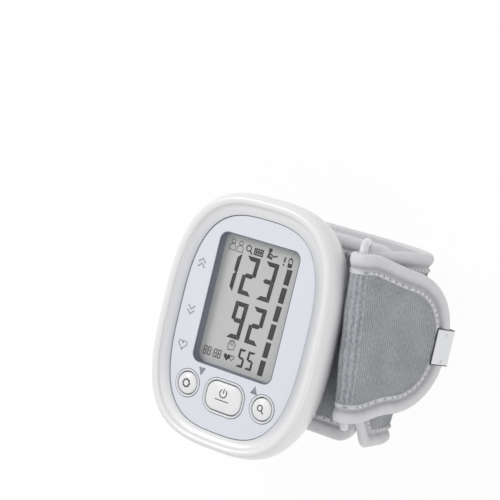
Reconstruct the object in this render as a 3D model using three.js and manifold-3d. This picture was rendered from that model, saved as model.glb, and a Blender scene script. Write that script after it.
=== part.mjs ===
// Wrist blood pressure monitor, lying on the back of its closed cuff with the display up.
// Millimetres. X runs to the right across the display, Y along the housing towards its top and
// Z out of the display. The origin is on the resting plane, under the centre of the housing.
// Depths are measured down from the face panel's top, into the housing.

import * as THREE from "three";
import { mergeVertices } from "three/addons/utils/BufferGeometryUtils.js";
import Module from "manifold-3d";

const wasm = await Module();
wasm.setup();

// Clearances and the overrun that lets a cut pass its piece
const clearance = 0.3;
const overrun = 1;
const weldDistance = 1e-4;

// Housing
const housingHeight = 92.4;
const housingDepth = 26;
const faceLevel = 68;
const outlineExponent = 3;
const widestDepth = 3;
const backDrawShare = 0.4;
const backRoundExponent = 1.5;
const wall = 1.8;
const partingDepth = 17;
const rimRise = 2.6;
const rimInset = 2.6;
const rimInnerWidth = 1.4;
const rimInnerDrop = 0.5;
const coveWidth = 3.8;
const panelStep = 0.4;
const deckThickness = 2;

// Face panel and display
const panelThickness = 1.2;
const windowWidthShare = 0.625;
const windowHeightShare = 0.62;
const windowAboveShare = 0.17;
const windowRadius = 3;
const windowLedge = 0.8;
const displayRecess = 3.8;
const glassThickness = 2.2;
const frameWall = 1.2;
const frameDepth = 3.9;
const boardThickness = 1.2;
const boardMargin = 3.2;
const boardBottomMargin = 9;
const connectorInset = 3;
const connectorBreadth = 2;

// Buttons
const roundWidthShare = 0.29;
const roundOffsetShare = 0.6;
const roundBelowShare = 0.677;
const startWidthShare = 0.55;
const startHeightShare = 0.27;
const startRadiusShare = 0.385;
const startBelowShare = 0.698;
const buttonGap = 0.4;
const buttonProud = 1;
const buttonDome = 0.5;
const buttonFlange = 0.9;
const flangeThickness = 0.8;
const buttonTravel = 0.8;
const switchSize = 6;
const plungerRadius = 1.5;
const plungerProud = 1;

// Battery bay, door and cells
const doorSeamDrop = 1.3;
const doorSeamDepth = 8;
const doorWall = 1.6;
const tabWidth = 10;
const tabLength = 6;
const tabThickness = 1.2;
const railThickness = 1.2;
const railBreadth = 3;
const railLength = 7;
const cellDiameter = 10.5;
const cellLength = 44.5;
const cellSideRoom = 12.75;
const cellTopRoom = 24.4;
const cellPip = 1;
const cellPipRadius = 2;
const cellPitch = 10.8;
const cellRoom = 0.35;
const trayWall = 1;
const contactRoom = 2;
const contactThickness = 0.4;
const contactWidth = 5;
const springWireRadius = 0.3;
const springRadius = 2.4;
const springTurns = 2;

// Screws
const boardGap = 0.5;
const upperBossDrop = 3;
const lowerBossRoom = 27.2;
const bossRadius = 2.6;
const postRadius = 3.4;
const screwRadius = 1;
const screwHeadRadius = 2;
const screwHeadHeight = 1.5;
const screwGrip = 9;
const postFloor = 1.7;
const bossShort = 1;

// Air system and parts on the board
const pumpRadius = 6.2;
const pumpHeadSize = 13;
const pumpHeadShare = 0.29;
const pumpInset = 9.7;
const airTopRoom = 7.1;
const airEndRoom = 19.2;
const cradleThickness = 2.4;
const portRadius = 1.4;
const portLength = 3;
const valveRadius = 4.2;
const valveLengthShare = 0.535;
const valveInset = 9.2;
const valveEndRoom = 13.7;
const hoseRadius = 1.9;
const nippleRadius = 1.5;
const nippleFlangeRadius = 4;
const nippleFlangeThickness = 0.8;
const nippleBore = 0.7;
const nippleReach = 4.7;
const nippleDrop = 7.3;
const nippleRise = 4;
const processorSize = 9;
const processorHeight = 1.2;
const processorInset = 7.2;
const processorDrop = 17.4;
const sensorSize = 7;
const sensorHeight = 3.4;
const sensorGap = 1;
const sensorDrop = 7.4;
const buzzerRadius = 5.5;
const buzzerHeight = 4.5;
const buzzerInset = 8.2;
const buzzerDrop = 6.4;

// Cuff: widths, layers and the loop that the strap makes round the wrist
const cuffWidth = 72;
const cuffAboveCentre = 3;
const bindingWidth = 7;
const strapThickness = 2.2;
const stiffenerThickness = 0.8;
const bladderThickness = 1.4;
const liningThickness = 1.2;
const leftFoldReach = 11;
const leftFoldRun = 20;
const leftRestRun = 28;
const rightRestRun = 31.5;
const rightLean = 2;
const riseStandOff = 3.9;
const flapRoom = 0.9;
const flapCornerRadius = 5;
const leftFoldShare = 0.575;
const rightFoldShare = 0.456;
const riseHeightShare = 0.863;
const liningLeftRoom = 7;
const liningTurnRoom = 4;
const liningRestRun = 6;
const liningRestPast = 2;
const liningEndShare = 0.48;
const liningShort = 3;
const liningHem = 4;
const liningInset = 1;
const linerMargin = 8;
const bladderStartRoom = 16.4;
const bladderEnd = 6;
const stakeRadius = 1.4;
const stakeOffset = 12;
const stakeDrop = 3.5;

// Ring and the fold of the strap over it
const ringWireRadius = 1.5;
const ringStandOff = 4.6;
const ringDrop = 9.7;
const ringReachAcross = -4.1;
const ringReachDown = -10;
const ringRoom = 1;
const foldHalfWidth = 30;
const foldAboveCentre = 6.5;
const foldLeanAcross = -4.2;
const foldLeanUp = 9;
const foldLeanOver = 62;
const foldEntryAngle = 200;
const loopPlyThickness = 0.7;
const loopTabWidth = 26;
const loopTabLength = 4;
const loopTabSetBack = 6.6;

// Tongue
const tongueAngle = 22.5;
const tongueRootLength = 4;
const tongueTurn = 8;
const tongueLength = 35.6;
const tongueTipHalfWidth = 3.4;
const tongueCornerRadius = 22.5;
const clipWidth = 13.3;
const clipLength = 8;
const clipMetal = 0.6;
const clipAbove = 0.7;
const hookPatchStart = 13;
const hookPatchRoom = 0.5;
const hookPatchWidth = 26;
const hookPatchThickness = 1;

// Label
const labelThickness = 0.4;
const labelPastTurn = 17.6;
const labelBreadth = 12;

// How finely curves are cut
const outlineSteps = 48;
const circleSteps = 24;
const smallCircleSteps = 12;
const rimSteps = 4;
const sideSteps = 5;
const strapSteps = 9;
const cornerSteps = 4;
const tongueSteps = 7;
const wireSteps = 10;

// Handles of the strap's and the lining's bends, as shares of each bend's span across and up
const leftTopShares = [
  [0.6, 0],
  [1, 0.435],
];
const leftBottomShares = [
  [0, 0.54],
  [0.43, 1],
];
const rightBottomShares = [
  [0.44, 0],
  [0.94, 0.42],
];
const rightSideShares = [
  [0.65, 0.35],
  [0.75, 0.7],
];
const riseShares = [
  [-0.14, 0.35],
  [0.59, 0.7],
];
const slopeShares = [
  [0.5, 0],
  [0.5, 1],
];
const taperShare = 0.8;

// Levels and places that follow from the sizes above
const level = (depth) => faceLevel - depth;
const halfWidth = cellLength / 2 + cellSideRoom;
const halfHeight = housingHeight / 2;
const backDraw = backDrawShare * halfWidth;
const panelInset = rimInset + rimInnerWidth + coveWidth;
const panelHalfWidth = halfWidth - panelInset;
const panelHalfHeight = halfHeight - panelInset;
const windowWidth = 2 * windowWidthShare * panelHalfWidth;
const windowHeight = 2 * windowHeightShare * panelHalfHeight;
const windowAboveCentre = windowAboveShare * panelHalfHeight;
const roundButtonWidth = roundWidthShare * panelHalfWidth;
const roundButtonOffset = roundOffsetShare * panelHalfWidth;
const roundButtonBelow = roundBelowShare * panelHalfHeight;
const startButtonWidth = startWidthShare * panelHalfWidth;
const startButtonHeight = startHeightShare * panelHalfHeight;
const startButtonRadius = startRadiusShare * startButtonHeight;
const startButtonBelow = startBelowShare * panelHalfHeight;
const boardWidth = windowWidth + 2 * boardMargin;
const upperCell = halfHeight - cellTopRoom;
const doorSeamAboveCentre = upperCell - doorSeamDrop;
const cellPlaces = [upperCell - cellPitch, upperCell];
const trayLow = cellPlaces[0] - cellDiameter / 2 - cellRoom - trayWall;
const deckDepth = panelThickness + clearance;
const deckBottom = deckDepth + deckThickness;
const boardDepth = displayRecess + frameDepth + clearance;
const boardBack = boardDepth + boardThickness;
const bayFloorDepth = boardBack + clearance;
const cellDepth = bayFloorDepth + trayWall + cellRoom + cellDiameter / 2;
const backInside = housingDepth - wall;
const cuffTop = level(housingDepth) - clearance;
const ringOffset = halfWidth + ringStandOff;
const ringCentre = new THREE.Vector2(ringOffset, level(ringDrop));
const loopLeft = halfWidth + leftFoldReach;
const riseOffset = ringOffset + riseStandOff;
const loopRight = riseOffset - rightLean;
const flapEnd = riseOffset - strapThickness - flapRoom;
const restLeft = loopLeft - leftRestRun;
const restRight = loopRight - rightRestRun;
const seatHalfLength = loopLeft - leftFoldRun;
const leftFoldHeight = leftFoldShare * cuffTop;
const rightFoldHeight = rightFoldShare * cuffTop;
const riseHeight = riseHeightShare * cuffTop;
const bladderStart = flapEnd - bladderStartRoom;

// Solids: joining, cutting and the simple shapes
function solidOf(geometry) {
  const bare = geometry.clone();
  for (const name of Object.keys(bare.attributes)) {
    if (name !== "position") bare.deleteAttribute(name);
  }
  const merged = mergeVertices(bare, weldDistance);
  const corners = [];
  for (let i = 0; i < merged.index.count; i += 3) {
    const [a, b, c] = [0, 1, 2].map((k) => merged.index.getX(i + k));
    if (a !== b && b !== c && c !== a) corners.push([a, b, c]);
  }
  const vertProperties = Float32Array.from(merged.attributes.position.array);
  const make = (list) =>
    new wasm.Manifold(
      new wasm.Mesh({ numProp: 3, vertProperties, triVerts: Uint32Array.from(list.flat()) }),
    );
  const made = make(corners);
  return made.volume() < 0 ? make(corners.map(([a, b, c]) => [a, c, b])) : made;
}

function geometryOf(solid) {
  const mesh = solid.getMesh();
  const geometry = new THREE.BufferGeometry();
  geometry.setAttribute("position", new THREE.BufferAttribute(mesh.vertProperties, 3));
  geometry.setIndex(new THREE.BufferAttribute(mesh.triVerts, 1));
  return geometry;
}

const join = (...list) => geometryOf(list.map(solidOf).reduce((a, b) => a.add(b)));
const cut = (base, ...tools) => geometryOf([base, ...tools].map(solidOf).reduce((a, b) => a.subtract(b)));
const common = (...list) => geometryOf(list.map(solidOf).reduce((a, b) => a.intersect(b)));

function block(lowX, highX, lowY, highY, lowZ, highZ) {
  const made = new THREE.BoxGeometry(highX - lowX, highY - lowY, highZ - lowZ);
  return made.translate((lowX + highX) / 2, (lowY + highY) / 2, (lowZ + highZ) / 2);
}

// A cylinder along Z between two levels
function rod(radius, x, y, low, high, steps = circleSteps) {
  const made = new THREE.CylinderGeometry(radius, radius, high - low, steps);
  return made.rotateX(Math.PI / 2).translate(x, y, (low + high) / 2);
}

// A solid through a row of convex outlines, each a list of points in space
function loft(rings, closed = false) {
  const count = rings[0].length;
  const positions = rings.flat().flatMap((p) => [p.x, p.y, p.z]);
  const index = [];
  const last = closed ? rings.length : rings.length - 1;
  for (let r = 0; r < last; r += 1) {
    const next = (r + 1) % rings.length;
    for (let i = 0; i < count; i += 1) {
      const j = (i + 1) % count;
      const [a, b, c, d] = [r * count + i, r * count + j, next * count + j, next * count + i];
      index.push(a, b, c, a, c, d);
    }
  }
  const end = (rings.length - 1) * count;
  for (let i = 1; !closed && i < count - 1; i += 1) {
    index.push(0, i + 1, i, end, end + i, end + i + 1);
  }
  const made = new THREE.BufferGeometry();
  made.setAttribute("position", new THREE.Float32BufferAttribute(positions, 3));
  made.setIndex(index);
  return made;
}

// The housing's outline, drawn in by an inset, at a depth
function outlinePoints(inset) {
  const power = 2 / outlineExponent;
  return Array.from({ length: outlineSteps }, (_, i) => {
    const turn = (2 * Math.PI * i) / outlineSteps;
    const [c, s] = [Math.cos(turn), Math.sin(turn)];
    const x = Math.sign(c) * Math.abs(c) ** power * (halfWidth - inset);
    const y = Math.sign(s) * Math.abs(s) ** power * (halfHeight - inset);
    return new THREE.Vector2(x, y);
  });
}

const outlineRing = ([inset, depth]) =>
  outlinePoints(inset).map((p) => new THREE.Vector3(p.x, p.y, level(depth)));

// How far the side wall has drawn in at a depth, and half the outline's width at a height
function sideInset(depth) {
  const share = Math.max(0, (depth - widestDepth) / (housingDepth - widestDepth));
  const kept = Math.max(0, 1 - share ** backRoundExponent);
  return backDraw * (1 - kept ** (1 / backRoundExponent));
}

function halfWidthAt(y, inset) {
  const share = Math.abs(y) / (halfHeight - inset);
  return (halfWidth - inset) * Math.max(0, 1 - share ** outlineExponent) ** (1 / outlineExponent);
}

function sideProfile(fromDepth, toDepth, extra = 0) {
  return Array.from({ length: sideSteps + 1 }, (_, i) => {
    const depth = fromDepth + ((toDepth - fromDepth) * i) / sideSteps;
    return [sideInset(depth) + extra, depth];
  });
}

// The rim: up the outside to the crest, over it, and down the hollow cove to the panel
function rimProfile() {
  const outside = Array.from({ length: rimSteps }, (_, i) => {
    const turn = ((i + 1) / rimSteps) * (Math.PI / 2);
    return [rimInset * (1 - Math.cos(turn)), widestDepth - (widestDepth + rimRise) * Math.sin(turn)];
  });
  const inside = [rimInset + rimInnerWidth, rimInnerDrop - rimRise];
  const cove = Array.from({ length: rimSteps }, (_, i) => {
    const turn = ((i + 1) / rimSteps) * (Math.PI / 2);
    const drop = rimRise - rimInnerDrop - panelStep;
    return [
      rimInset + rimInnerWidth + coveWidth * (1 - Math.cos(turn)),
      rimInnerDrop - rimRise + drop * Math.sin(turn),
    ];
  });
  return [...outside, inside, ...cove];
}

function roundedRectangle(width, height, radius, x = 0, y = 0) {
  const shape = new THREE.Shape();
  const [w, h] = [width / 2 - radius, height / 2 - radius];
  shape.absarc(x + w, y + h, radius, 0, Math.PI / 2);
  shape.absarc(x - w, y + h, radius, Math.PI / 2, Math.PI);
  shape.absarc(x - w, y - h, radius, Math.PI, (3 * Math.PI) / 2);
  shape.absarc(x + w, y - h, radius, (3 * Math.PI) / 2, 2 * Math.PI);
  shape.closePath();
  return shape;
}

const disc = (radius, x = 0, y = 0) => roundedRectangle(2 * radius, 2 * radius, radius, x, y);

// A flat plate of a shape between two levels
function plate(shape, low, high, steps = cornerSteps) {
  const options = { depth: high - low, bevelEnabled: false, curveSegments: steps };
  return new THREE.ExtrudeGeometry(shape, options).translate(0, 0, low);
}

// A solid through outlines of one shape drawn in and set at levels
function stacked(shapeAt, profile) {
  return loft(
    profile.map(([inset, z]) => {
      const points = shapeAt(inset).getPoints(cornerSteps);
      const apart = points.filter((p, i) => p.distanceTo(points.at(i - 1)) > weldDistance);
      return apart.map((p) => new THREE.Vector3(p.x, p.y, z));
    }),
  );
}

// Openings that the face panel and the deck under it share
const windowShape = (grow) =>
  roundedRectangle(
    windowWidth + 2 * grow,
    windowHeight + 2 * grow,
    Math.max(windowRadius + grow, clearance),
    0,
    windowAboveCentre,
  );

const buttons = [
  {
    name: "settings",
    place: new THREE.Vector2(-roundButtonOffset, -roundButtonBelow),
    shapeAt: (inset) => disc(roundButtonWidth / 2 - inset, -roundButtonOffset, -roundButtonBelow),
  },
  {
    name: "start",
    place: new THREE.Vector2(0, -startButtonBelow),
    shapeAt: (inset) =>
      roundedRectangle(
        startButtonWidth - 2 * inset,
        startButtonHeight - 2 * inset,
        startButtonRadius - inset,
        0,
        -startButtonBelow,
      ),
  },
  {
    name: "memory",
    place: new THREE.Vector2(roundButtonOffset, -roundButtonBelow),
    shapeAt: (inset) => disc(roundButtonWidth / 2 - inset, roundButtonOffset, -roundButtonBelow),
  },
];

// Screw places, and the levels where boss, post and screw head meet
const bossOffset = boardWidth / 2 + boardGap + bossRadius;
const bossPlaces = [-1, 1].flatMap((side) =>
  [trayLow - upperBossDrop, lowerBossRoom - halfHeight].map(
    (y) => new THREE.Vector2(side * bossOffset, y),
  ),
);
const bossEnd = partingDepth - bossShort;
const headSeat = bossEnd + clearance + postFloor;

// Housing shells
function frontHousing() {
  const outside = loft(
    [...sideProfile(partingDepth, widestDepth), ...rimProfile(), [panelInset, deckDepth]].map(
      outlineRing,
    ),
  );
  const inside = loft(sideProfile(partingDepth + overrun, deckBottom, wall).map(outlineRing));
  const doorGap = block(
    -2 * halfWidth,
    2 * halfWidth,
    doorSeamAboveCentre,
    housingHeight,
    level(partingDepth + overrun),
    level(doorSeamDepth),
  );
  const windowHole = plate(windowShape(-windowLedge), level(deckBottom + overrun), level(0));
  const buttonHoles = buttons.map((b) =>
    plate(b.shapeAt(-buttonGap), level(deckBottom + overrun), level(0)),
  );
  const shell = cut(outside, inside, doorGap, windowHole, ...buttonHoles);
  const bosses = bossPlaces.map((p) =>
    rod(bossRadius, p.x, p.y, level(bossEnd), level(deckBottom - clearance)),
  );
  const pilots = bossPlaces.map((p) =>
    rod(
      screwRadius + clearance,
      p.x,
      p.y,
      level(bossEnd + overrun),
      level(headSeat - screwGrip - clearance),
      smallCircleSteps,
    ),
  );
  return cut(join(shell, ...bosses), ...pilots);
}

// The bay for the two cells: a tray that closes it off from the board
const trayHalf = cellLength / 2 + contactRoom + trayWall;
const trayHigh = cellPlaces[1] + cellDiameter / 2 + cellRoom;

function cellTray() {
  const floor = block(
    -trayHalf,
    trayHalf,
    trayLow,
    trayHigh,
    level(bayFloorDepth + trayWall),
    level(bayFloorDepth),
  );
  const ends = [-1, 1].map((side) => {
    const [a, b] = [side * trayHalf, side * (trayHalf - trayWall)];
    const low = level(cellDepth + cellDiameter / 2);
    return block(Math.min(a, b), Math.max(a, b), trayLow, trayHigh, low, level(bayFloorDepth));
  });
  const room = loft(
    sideProfile(backInside, bayFloorDepth - overrun, doorWall + 2 * clearance).map(outlineRing),
  );
  const divider = block(
    -trayHalf,
    trayHalf,
    trayLow,
    trayLow + trayWall,
    level(backInside + clearance),
    level(bayFloorDepth),
  );
  const dividerRoom = loft(
    sideProfile(housingDepth, bayFloorDepth - overrun, wall / 2).map(outlineRing),
  );
  return join(common(join(floor, ...ends), room), common(divider, dividerRoom));
}

// Where the pump and the valve lie, along Y, at the depth between board and back
const airDepth = (boardBack + backInside) / 2;
const pumpLow = airEndRoom - halfHeight;
const headHigh = trayLow - airTopRoom;
const pumpHigh = headHigh - pumpHeadShare * (headHigh - pumpLow) - clearance;
const pumpOffset = pumpInset - boardWidth / 2;
const valveOffset = boardWidth / 2 - valveInset;
const valveLow = valveEndRoom - halfHeight;
const valveHigh = valveLow + valveLengthShare * (headHigh - pumpLow);
const hoseStart = pumpOffset + pumpHeadSize / 2 + portLength + clearance;
const nipplePlace = new THREE.Vector2(hoseStart + nippleReach, headHigh - nippleDrop);

function cradle(radius, x, y) {
  const width = 2 * radius;
  const foot = block(
    x - width / 2,
    x + width / 2,
    y - cradleThickness / 2,
    y + cradleThickness / 2,
    level(backInside + clearance),
    level(airDepth + radius / 2),
  );
  const hollow = new THREE.CylinderGeometry(
    radius + clearance,
    radius + clearance,
    cradleThickness + overrun,
    circleSteps,
  );
  return cut(foot, hollow.translate(x, y, level(airDepth)));
}

const stiffenerTop = cuffTop - strapThickness - clearance;
const stakePlaces = [-1, 1].flatMap((side) =>
  [-1, 1].map((end) => new THREE.Vector2(side * stakeOffset, end * (doorSeamAboveCentre - stakeDrop))),
);
const stakeHoles = (low, high) =>
  stakePlaces.map((p) => rod(stakeRadius + clearance, p.x, p.y, low, high, smallCircleSteps));
const nippleHole = (radius, low, high) =>
  rod(radius + clearance, nipplePlace.x, nipplePlace.y, low, high, smallCircleSteps);

function rearHousing() {
  const outside = loft(sideProfile(housingDepth, partingDepth + clearance).map(outlineRing));
  const inside = loft(sideProfile(backInside, partingDepth - overrun, wall).map(outlineRing));
  const kept = block(
    -halfWidth,
    halfWidth,
    -halfHeight,
    doorSeamAboveCentre - clearance,
    level(housingDepth + overrun),
    level(partingDepth - overrun),
  );
  const shell = common(cut(outside, inside), kept);
  const postRoom = loft(sideProfile(housingDepth, bossEnd, wall / 2).map(outlineRing));
  const posts = bossPlaces.map((p) =>
    common(
      rod(postRadius, p.x, p.y, level(housingDepth), level(bossEnd + clearance)),
      postRoom,
    ),
  );
  const shanks = bossPlaces.map((p) =>
    rod(screwRadius + clearance, p.x, p.y, level(housingDepth), level(bossEnd), smallCircleSteps),
  );
  const heads = bossPlaces.map((p) =>
    rod(screwHeadRadius + clearance, p.x, p.y, level(housingDepth + overrun), level(headSeat)),
  );
  const stakes = stakePlaces.map((p) =>
    rod(
      stakeRadius,
      p.x,
      p.y,
      stiffenerTop - stiffenerThickness,
      level(backInside),
      smallCircleSteps,
    ),
  );
  const cradles = [
    cradle(pumpRadius, pumpOffset, pumpLow + cradleThickness),
    cradle(pumpRadius, pumpOffset, pumpHigh - cradleThickness),
    cradle(valveRadius, valveOffset, (valveLow + valveHigh) / 2),
  ];
  return cut(
    join(shell, cellTray(), ...posts, ...stakes, ...cradles),
    ...shanks,
    ...heads,
    nippleHole(nippleRadius, level(housingDepth + overrun), level(backInside - overrun)),
  );
}

// The door: the top end of the housing behind the seam, with a snap tab and two guide rails
function batteryDoor() {
  const top = doorSeamDepth + clearance;
  const low = doorSeamAboveCentre + clearance;
  const outside = loft(sideProfile(housingDepth, top).map(outlineRing));
  const inside = loft(
    sideProfile(housingDepth - doorWall, top - overrun, doorWall).map(outlineRing),
  );
  const kept = block(
    -halfWidth,
    halfWidth,
    low,
    halfHeight + overrun,
    level(housingDepth + overrun),
    level(top - overrun),
  );
  const shell = common(cut(outside, inside), kept);
  const tabTop = backInside - clearance - tabThickness;
  const tab = join(
    block(
      -tabWidth / 2,
      tabWidth / 2,
      low - tabLength,
      low + tabThickness,
      level(tabTop + tabThickness),
      level(tabTop),
    ),
    block(
      -tabWidth / 2,
      tabWidth / 2,
      low,
      low + tabThickness,
      level(housingDepth - doorWall / 2),
      level(tabTop),
    ),
  );
  const railDepth = (doorSeamDepth + partingDepth) / 2;
  const railOuter = halfWidthAt(low, sideInset(railDepth + railBreadth / 2) + wall) - clearance;
  const rails = [-1, 1].map((side) => {
    const [a, b] = [side * railOuter, side * (railOuter - railThickness)];
    return common(
      block(
        Math.min(a, b),
        Math.max(a, b),
        low - railLength,
        low + railLength,
        level(railDepth + railBreadth / 2),
        level(railDepth - railBreadth / 2),
      ),
      loft(sideProfile(housingDepth, top, doorWall / 2).map(outlineRing)),
    );
  });
  return join(shell, tab, ...rails);
}

function facePanel() {
  const shape = new THREE.Shape(outlinePoints(panelInset + clearance));
  shape.holes.push(windowShape(clearance));
  for (const b of buttons) shape.holes.push(b.shapeAt(-buttonGap));
  return plate(shape, level(panelThickness), level(0));
}

const displayWindow = () =>
  plate(windowShape(0), level(panelThickness), level(clearance / 2));

// Display: glass in a frame, and the strip that joins it to the board
const glassBack = displayRecess + glassThickness;
const frameBack = displayRecess + frameDepth;
const connectorPlace = windowAboveCentre - windowHeight / 2 + connectorBreadth;

const lcdGlass = () => plate(windowShape(0), level(glassBack), level(displayRecess));

const connectorBlock = (grow, low, high) =>
  block(
    connectorInset - windowWidth / 2 - grow,
    windowWidth / 2 - connectorInset + grow,
    connectorPlace - connectorBreadth / 2 - grow,
    connectorPlace + connectorBreadth / 2 + grow,
    low,
    high,
  );

function lcdFrame() {
  const lip = 2 * connectorBreadth;
  return cut(
    plate(windowShape(clearance + frameWall), level(frameBack), level(displayRecess)),
    plate(windowShape(clearance), level(glassBack + clearance), level(displayRecess - overrun)),
    plate(windowShape(-lip), level(frameBack + overrun), level(displayRecess)),
    connectorBlock(clearance, level(frameBack + overrun), level(displayRecess)),
  );
}

const displayConnector = () =>
  connectorBlock(0, level(boardDepth - clearance), level(glassBack + clearance));

const boardLow = -halfHeight + boardBottomMargin;
const boardHigh = windowAboveCentre + windowHeight / 2 + clearance + frameWall;
const mainBoard = () =>
  block(-boardWidth / 2, boardWidth / 2, boardLow, boardHigh, level(boardBack), level(boardDepth));

function onBoard(width, height, thickness, x, y) {
  const top = boardBack + clearance;
  return block(
    x - width / 2,
    x + width / 2,
    y - height / 2,
    y + height / 2,
    level(top + thickness),
    level(top),
  );
}

// Buttons: a domed cap with a flange under the deck, a plunger and the switch that it enters
const flangeTop = deckBottom + clearance;
const flangeBottom = flangeTop + flangeThickness;
const plungerTop = flangeBottom + clearance;
const switchTop = plungerTop + plungerProud;

function buttonCap(button) {
  const top = level(-buttonProud);
  return join(
    stacked(button.shapeAt, [
      [0, level(flangeBottom)],
      [0, top - buttonDome],
      [buttonDome / 4, top - buttonDome / 4],
      [buttonDome, top],
    ]),
    plate(button.shapeAt(-buttonFlange), level(flangeBottom), level(flangeTop)),
  );
}

const plunger = ({ place }) =>
  rod(
    plungerRadius,
    place.x,
    place.y,
    level(boardDepth - buttonTravel - 2 * clearance),
    level(plungerTop),
    smallCircleSteps,
  );

function switchBody({ place }) {
  const low = level(boardDepth - clearance);
  return cut(
    block(
      place.x - switchSize / 2,
      place.x + switchSize / 2,
      place.y - switchSize / 2,
      place.y + switchSize / 2,
      low,
      level(switchTop),
    ),
    rod(
      plungerRadius + clearance,
      place.x,
      place.y,
      low - overrun,
      level(switchTop) + overrun,
      smallCircleSteps,
    ),
  );
}

function screw(place) {
  const head = level(headSeat + clearance + screwHeadHeight);
  return join(
    rod(
      screwRadius,
      place.x,
      place.y,
      head,
      level(headSeat - screwGrip),
      smallCircleSteps,
    ),
    rod(screwHeadRadius, place.x, place.y, head, level(headSeat + clearance)),
  );
}

// Cells lie across the housing; each is pushed against its plate contact by its spring
const contactInner = cellLength / 2 + contactRoom - clearance - contactThickness;
const cellShift = contactInner - clearance - cellLength / 2;

function cell(y, side) {
  const [start, can] = [-cellLength / 2, cellLength / 2 - cellPip];
  const profile = [
    [0, start],
    [cellDiameter / 2, start],
    [cellDiameter / 2, can],
    [cellPipRadius, can],
    [cellPipRadius, cellLength / 2],
    [0, cellLength / 2],
  ].map(([r, h]) => new THREE.Vector2(r, h));
  const made = new THREE.LatheGeometry(profile, circleSteps);
  made.rotateZ((-side * Math.PI) / 2);
  return made.translate(side * cellShift, y, level(cellDepth));
}

function contactPlate(y, side) {
  const [a, b] = [side * contactInner, side * (contactInner + contactThickness)];
  return block(
    Math.min(a, b),
    Math.max(a, b),
    y - contactWidth / 2,
    y + contactWidth / 2,
    level(cellDepth + contactWidth / 2),
    level(cellDepth - contactWidth / 2),
  );
}

function contactSpring(y, side) {
  const from = cellLength / 2 - cellShift + clearance + springWireRadius;
  const to = contactInner + contactThickness - springWireRadius;
  const steps = springTurns * smallCircleSteps;
  const points = Array.from({ length: steps + 1 }, (_, i) => {
    const turn = (2 * Math.PI * i) / smallCircleSteps;
    return new THREE.Vector3(
      side * (from + ((to - from) * i) / steps),
      y + springRadius * Math.cos(turn),
      level(cellDepth) + springRadius * Math.sin(turn),
    );
  });
  return new THREE.ExtrudeGeometry(disc(springWireRadius), {
    steps,
    curveSegments: 1,
    extrudePath: new THREE.CatmullRomCurve3(points),
  });
}

// Air system
function alongY(radius, low, high, x, steps = circleSteps) {
  const made = new THREE.CylinderGeometry(radius, radius, high - low, steps);
  return made.translate(x, (low + high) / 2, level(airDepth));
}

function pumpHead() {
  const low = pumpHigh + clearance;
  const half = pumpHeadSize / 2;
  const port = new THREE.CylinderGeometry(portRadius, portRadius, portLength, smallCircleSteps);
  port.rotateZ(Math.PI / 2);
  port.translate(pumpOffset + half + portLength / 2, (low + headHigh) / 2, level(airDepth));
  return join(
    block(
      pumpOffset - half,
      pumpOffset + half,
      low,
      headHigh,
      level(airDepth) - half,
      level(airDepth) + half,
    ),
    port.translate(-weldDistance, 0, 0),
  );
}

function valve() {
  return join(
    alongY(valveRadius, valveLow, valveHigh, valveOffset),
    alongY(
      portRadius,
      valveHigh - clearance,
      valveHigh + portLength,
      valveOffset,
      smallCircleSteps,
    ),
  );
}

const nippleTop = level(backInside) + nippleRise;
const flangeLow = stiffenerTop - stiffenerThickness;

function airHose() {
  const y = (pumpHigh + clearance + headHigh) / 2;
  const bend = 2 * hoseRadius;
  const path = new THREE.CatmullRomCurve3([
    new THREE.Vector3(hoseStart, y, level(airDepth)),
    new THREE.Vector3(hoseStart + hoseRadius, y, level(airDepth)),
    new THREE.Vector3(
      (hoseStart + bend + nipplePlace.x) / 2,
      (y + nipplePlace.y) / 2,
      level(airDepth) + hoseRadius / 2,
    ),
    new THREE.Vector3(nipplePlace.x, nipplePlace.y, nippleTop + clearance + hoseRadius),
    new THREE.Vector3(nipplePlace.x, nipplePlace.y, nippleTop + clearance),
  ]);
  return new THREE.ExtrudeGeometry(disc(hoseRadius), {
    steps: smallCircleSteps,
    curveSegments: 1,
    extrudePath: path,
  });
}

function airNipple() {
  const low = flangeLow;
  return cut(
    join(
      rod(nippleRadius, nipplePlace.x, nipplePlace.y, low, nippleTop, smallCircleSteps),
      rod(nippleFlangeRadius, nipplePlace.x, nipplePlace.y, low, low + nippleFlangeThickness),
    ),
    rod(
      nippleBore,
      nipplePlace.x,
      nipplePlace.y,
      low - overrun,
      nippleTop + overrun,
      smallCircleSteps,
    ),
  );
}

// The strap seen from its lower edge: its outer face runs from the flap's end under the housing,
// round the left fold, under the wrist, up the right side and over the ring to the tongue's root.
const flat = (x, z) => new THREE.Vector2(x, z);

function bend(from, to, shares) {
  const handle = ([across, up]) =>
    flat(from.x + across * (to.x - from.x), from.y + up * (to.y - from.y));
  return new THREE.CubicBezierCurve(from, handle(shares[0]), handle(shares[1]), to);
}

// Stations along a chain of curves; climb says how far the strap has risen towards the ring
function stations(chain) {
  const list = [];
  chain.forEach(([curve, steps, climbAt], k) => {
    for (let i = k ? 1 : 0; i <= steps; i += 1) {
      const at = curve.getPoint(i / steps);
      const way = curve.getTangent(i / steps);
      const run = list.length ? list.at(-1).run + at.distanceTo(list.at(-1).at) : 0;
      list.push({ at, way, run, climb: climbAt ? climbAt(at.y) : 0 });
    }
  });
  return list;
}

// The stations between two distances along a chain
function stretch(list, from, to) {
  const at = (run) => {
    const k = list.findIndex((s) => s.run >= run);
    const [a, b] = [list[Math.max(k - 1, 0)], list[Math.max(k, 1)]];
    const share = (run - a.run) / (b.run - a.run);
    return {
      at: a.at.clone().lerp(b.at, share),
      way: a.way.clone().lerp(b.way, share).normalize(),
      run,
      climb: a.climb + (b.climb - a.climb) * share,
    };
  };
  const inside = list.filter((s) => s.run > from + weldDistance && s.run < to - weldDistance);
  return [at(from), ...inside, at(to)];
}

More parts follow.
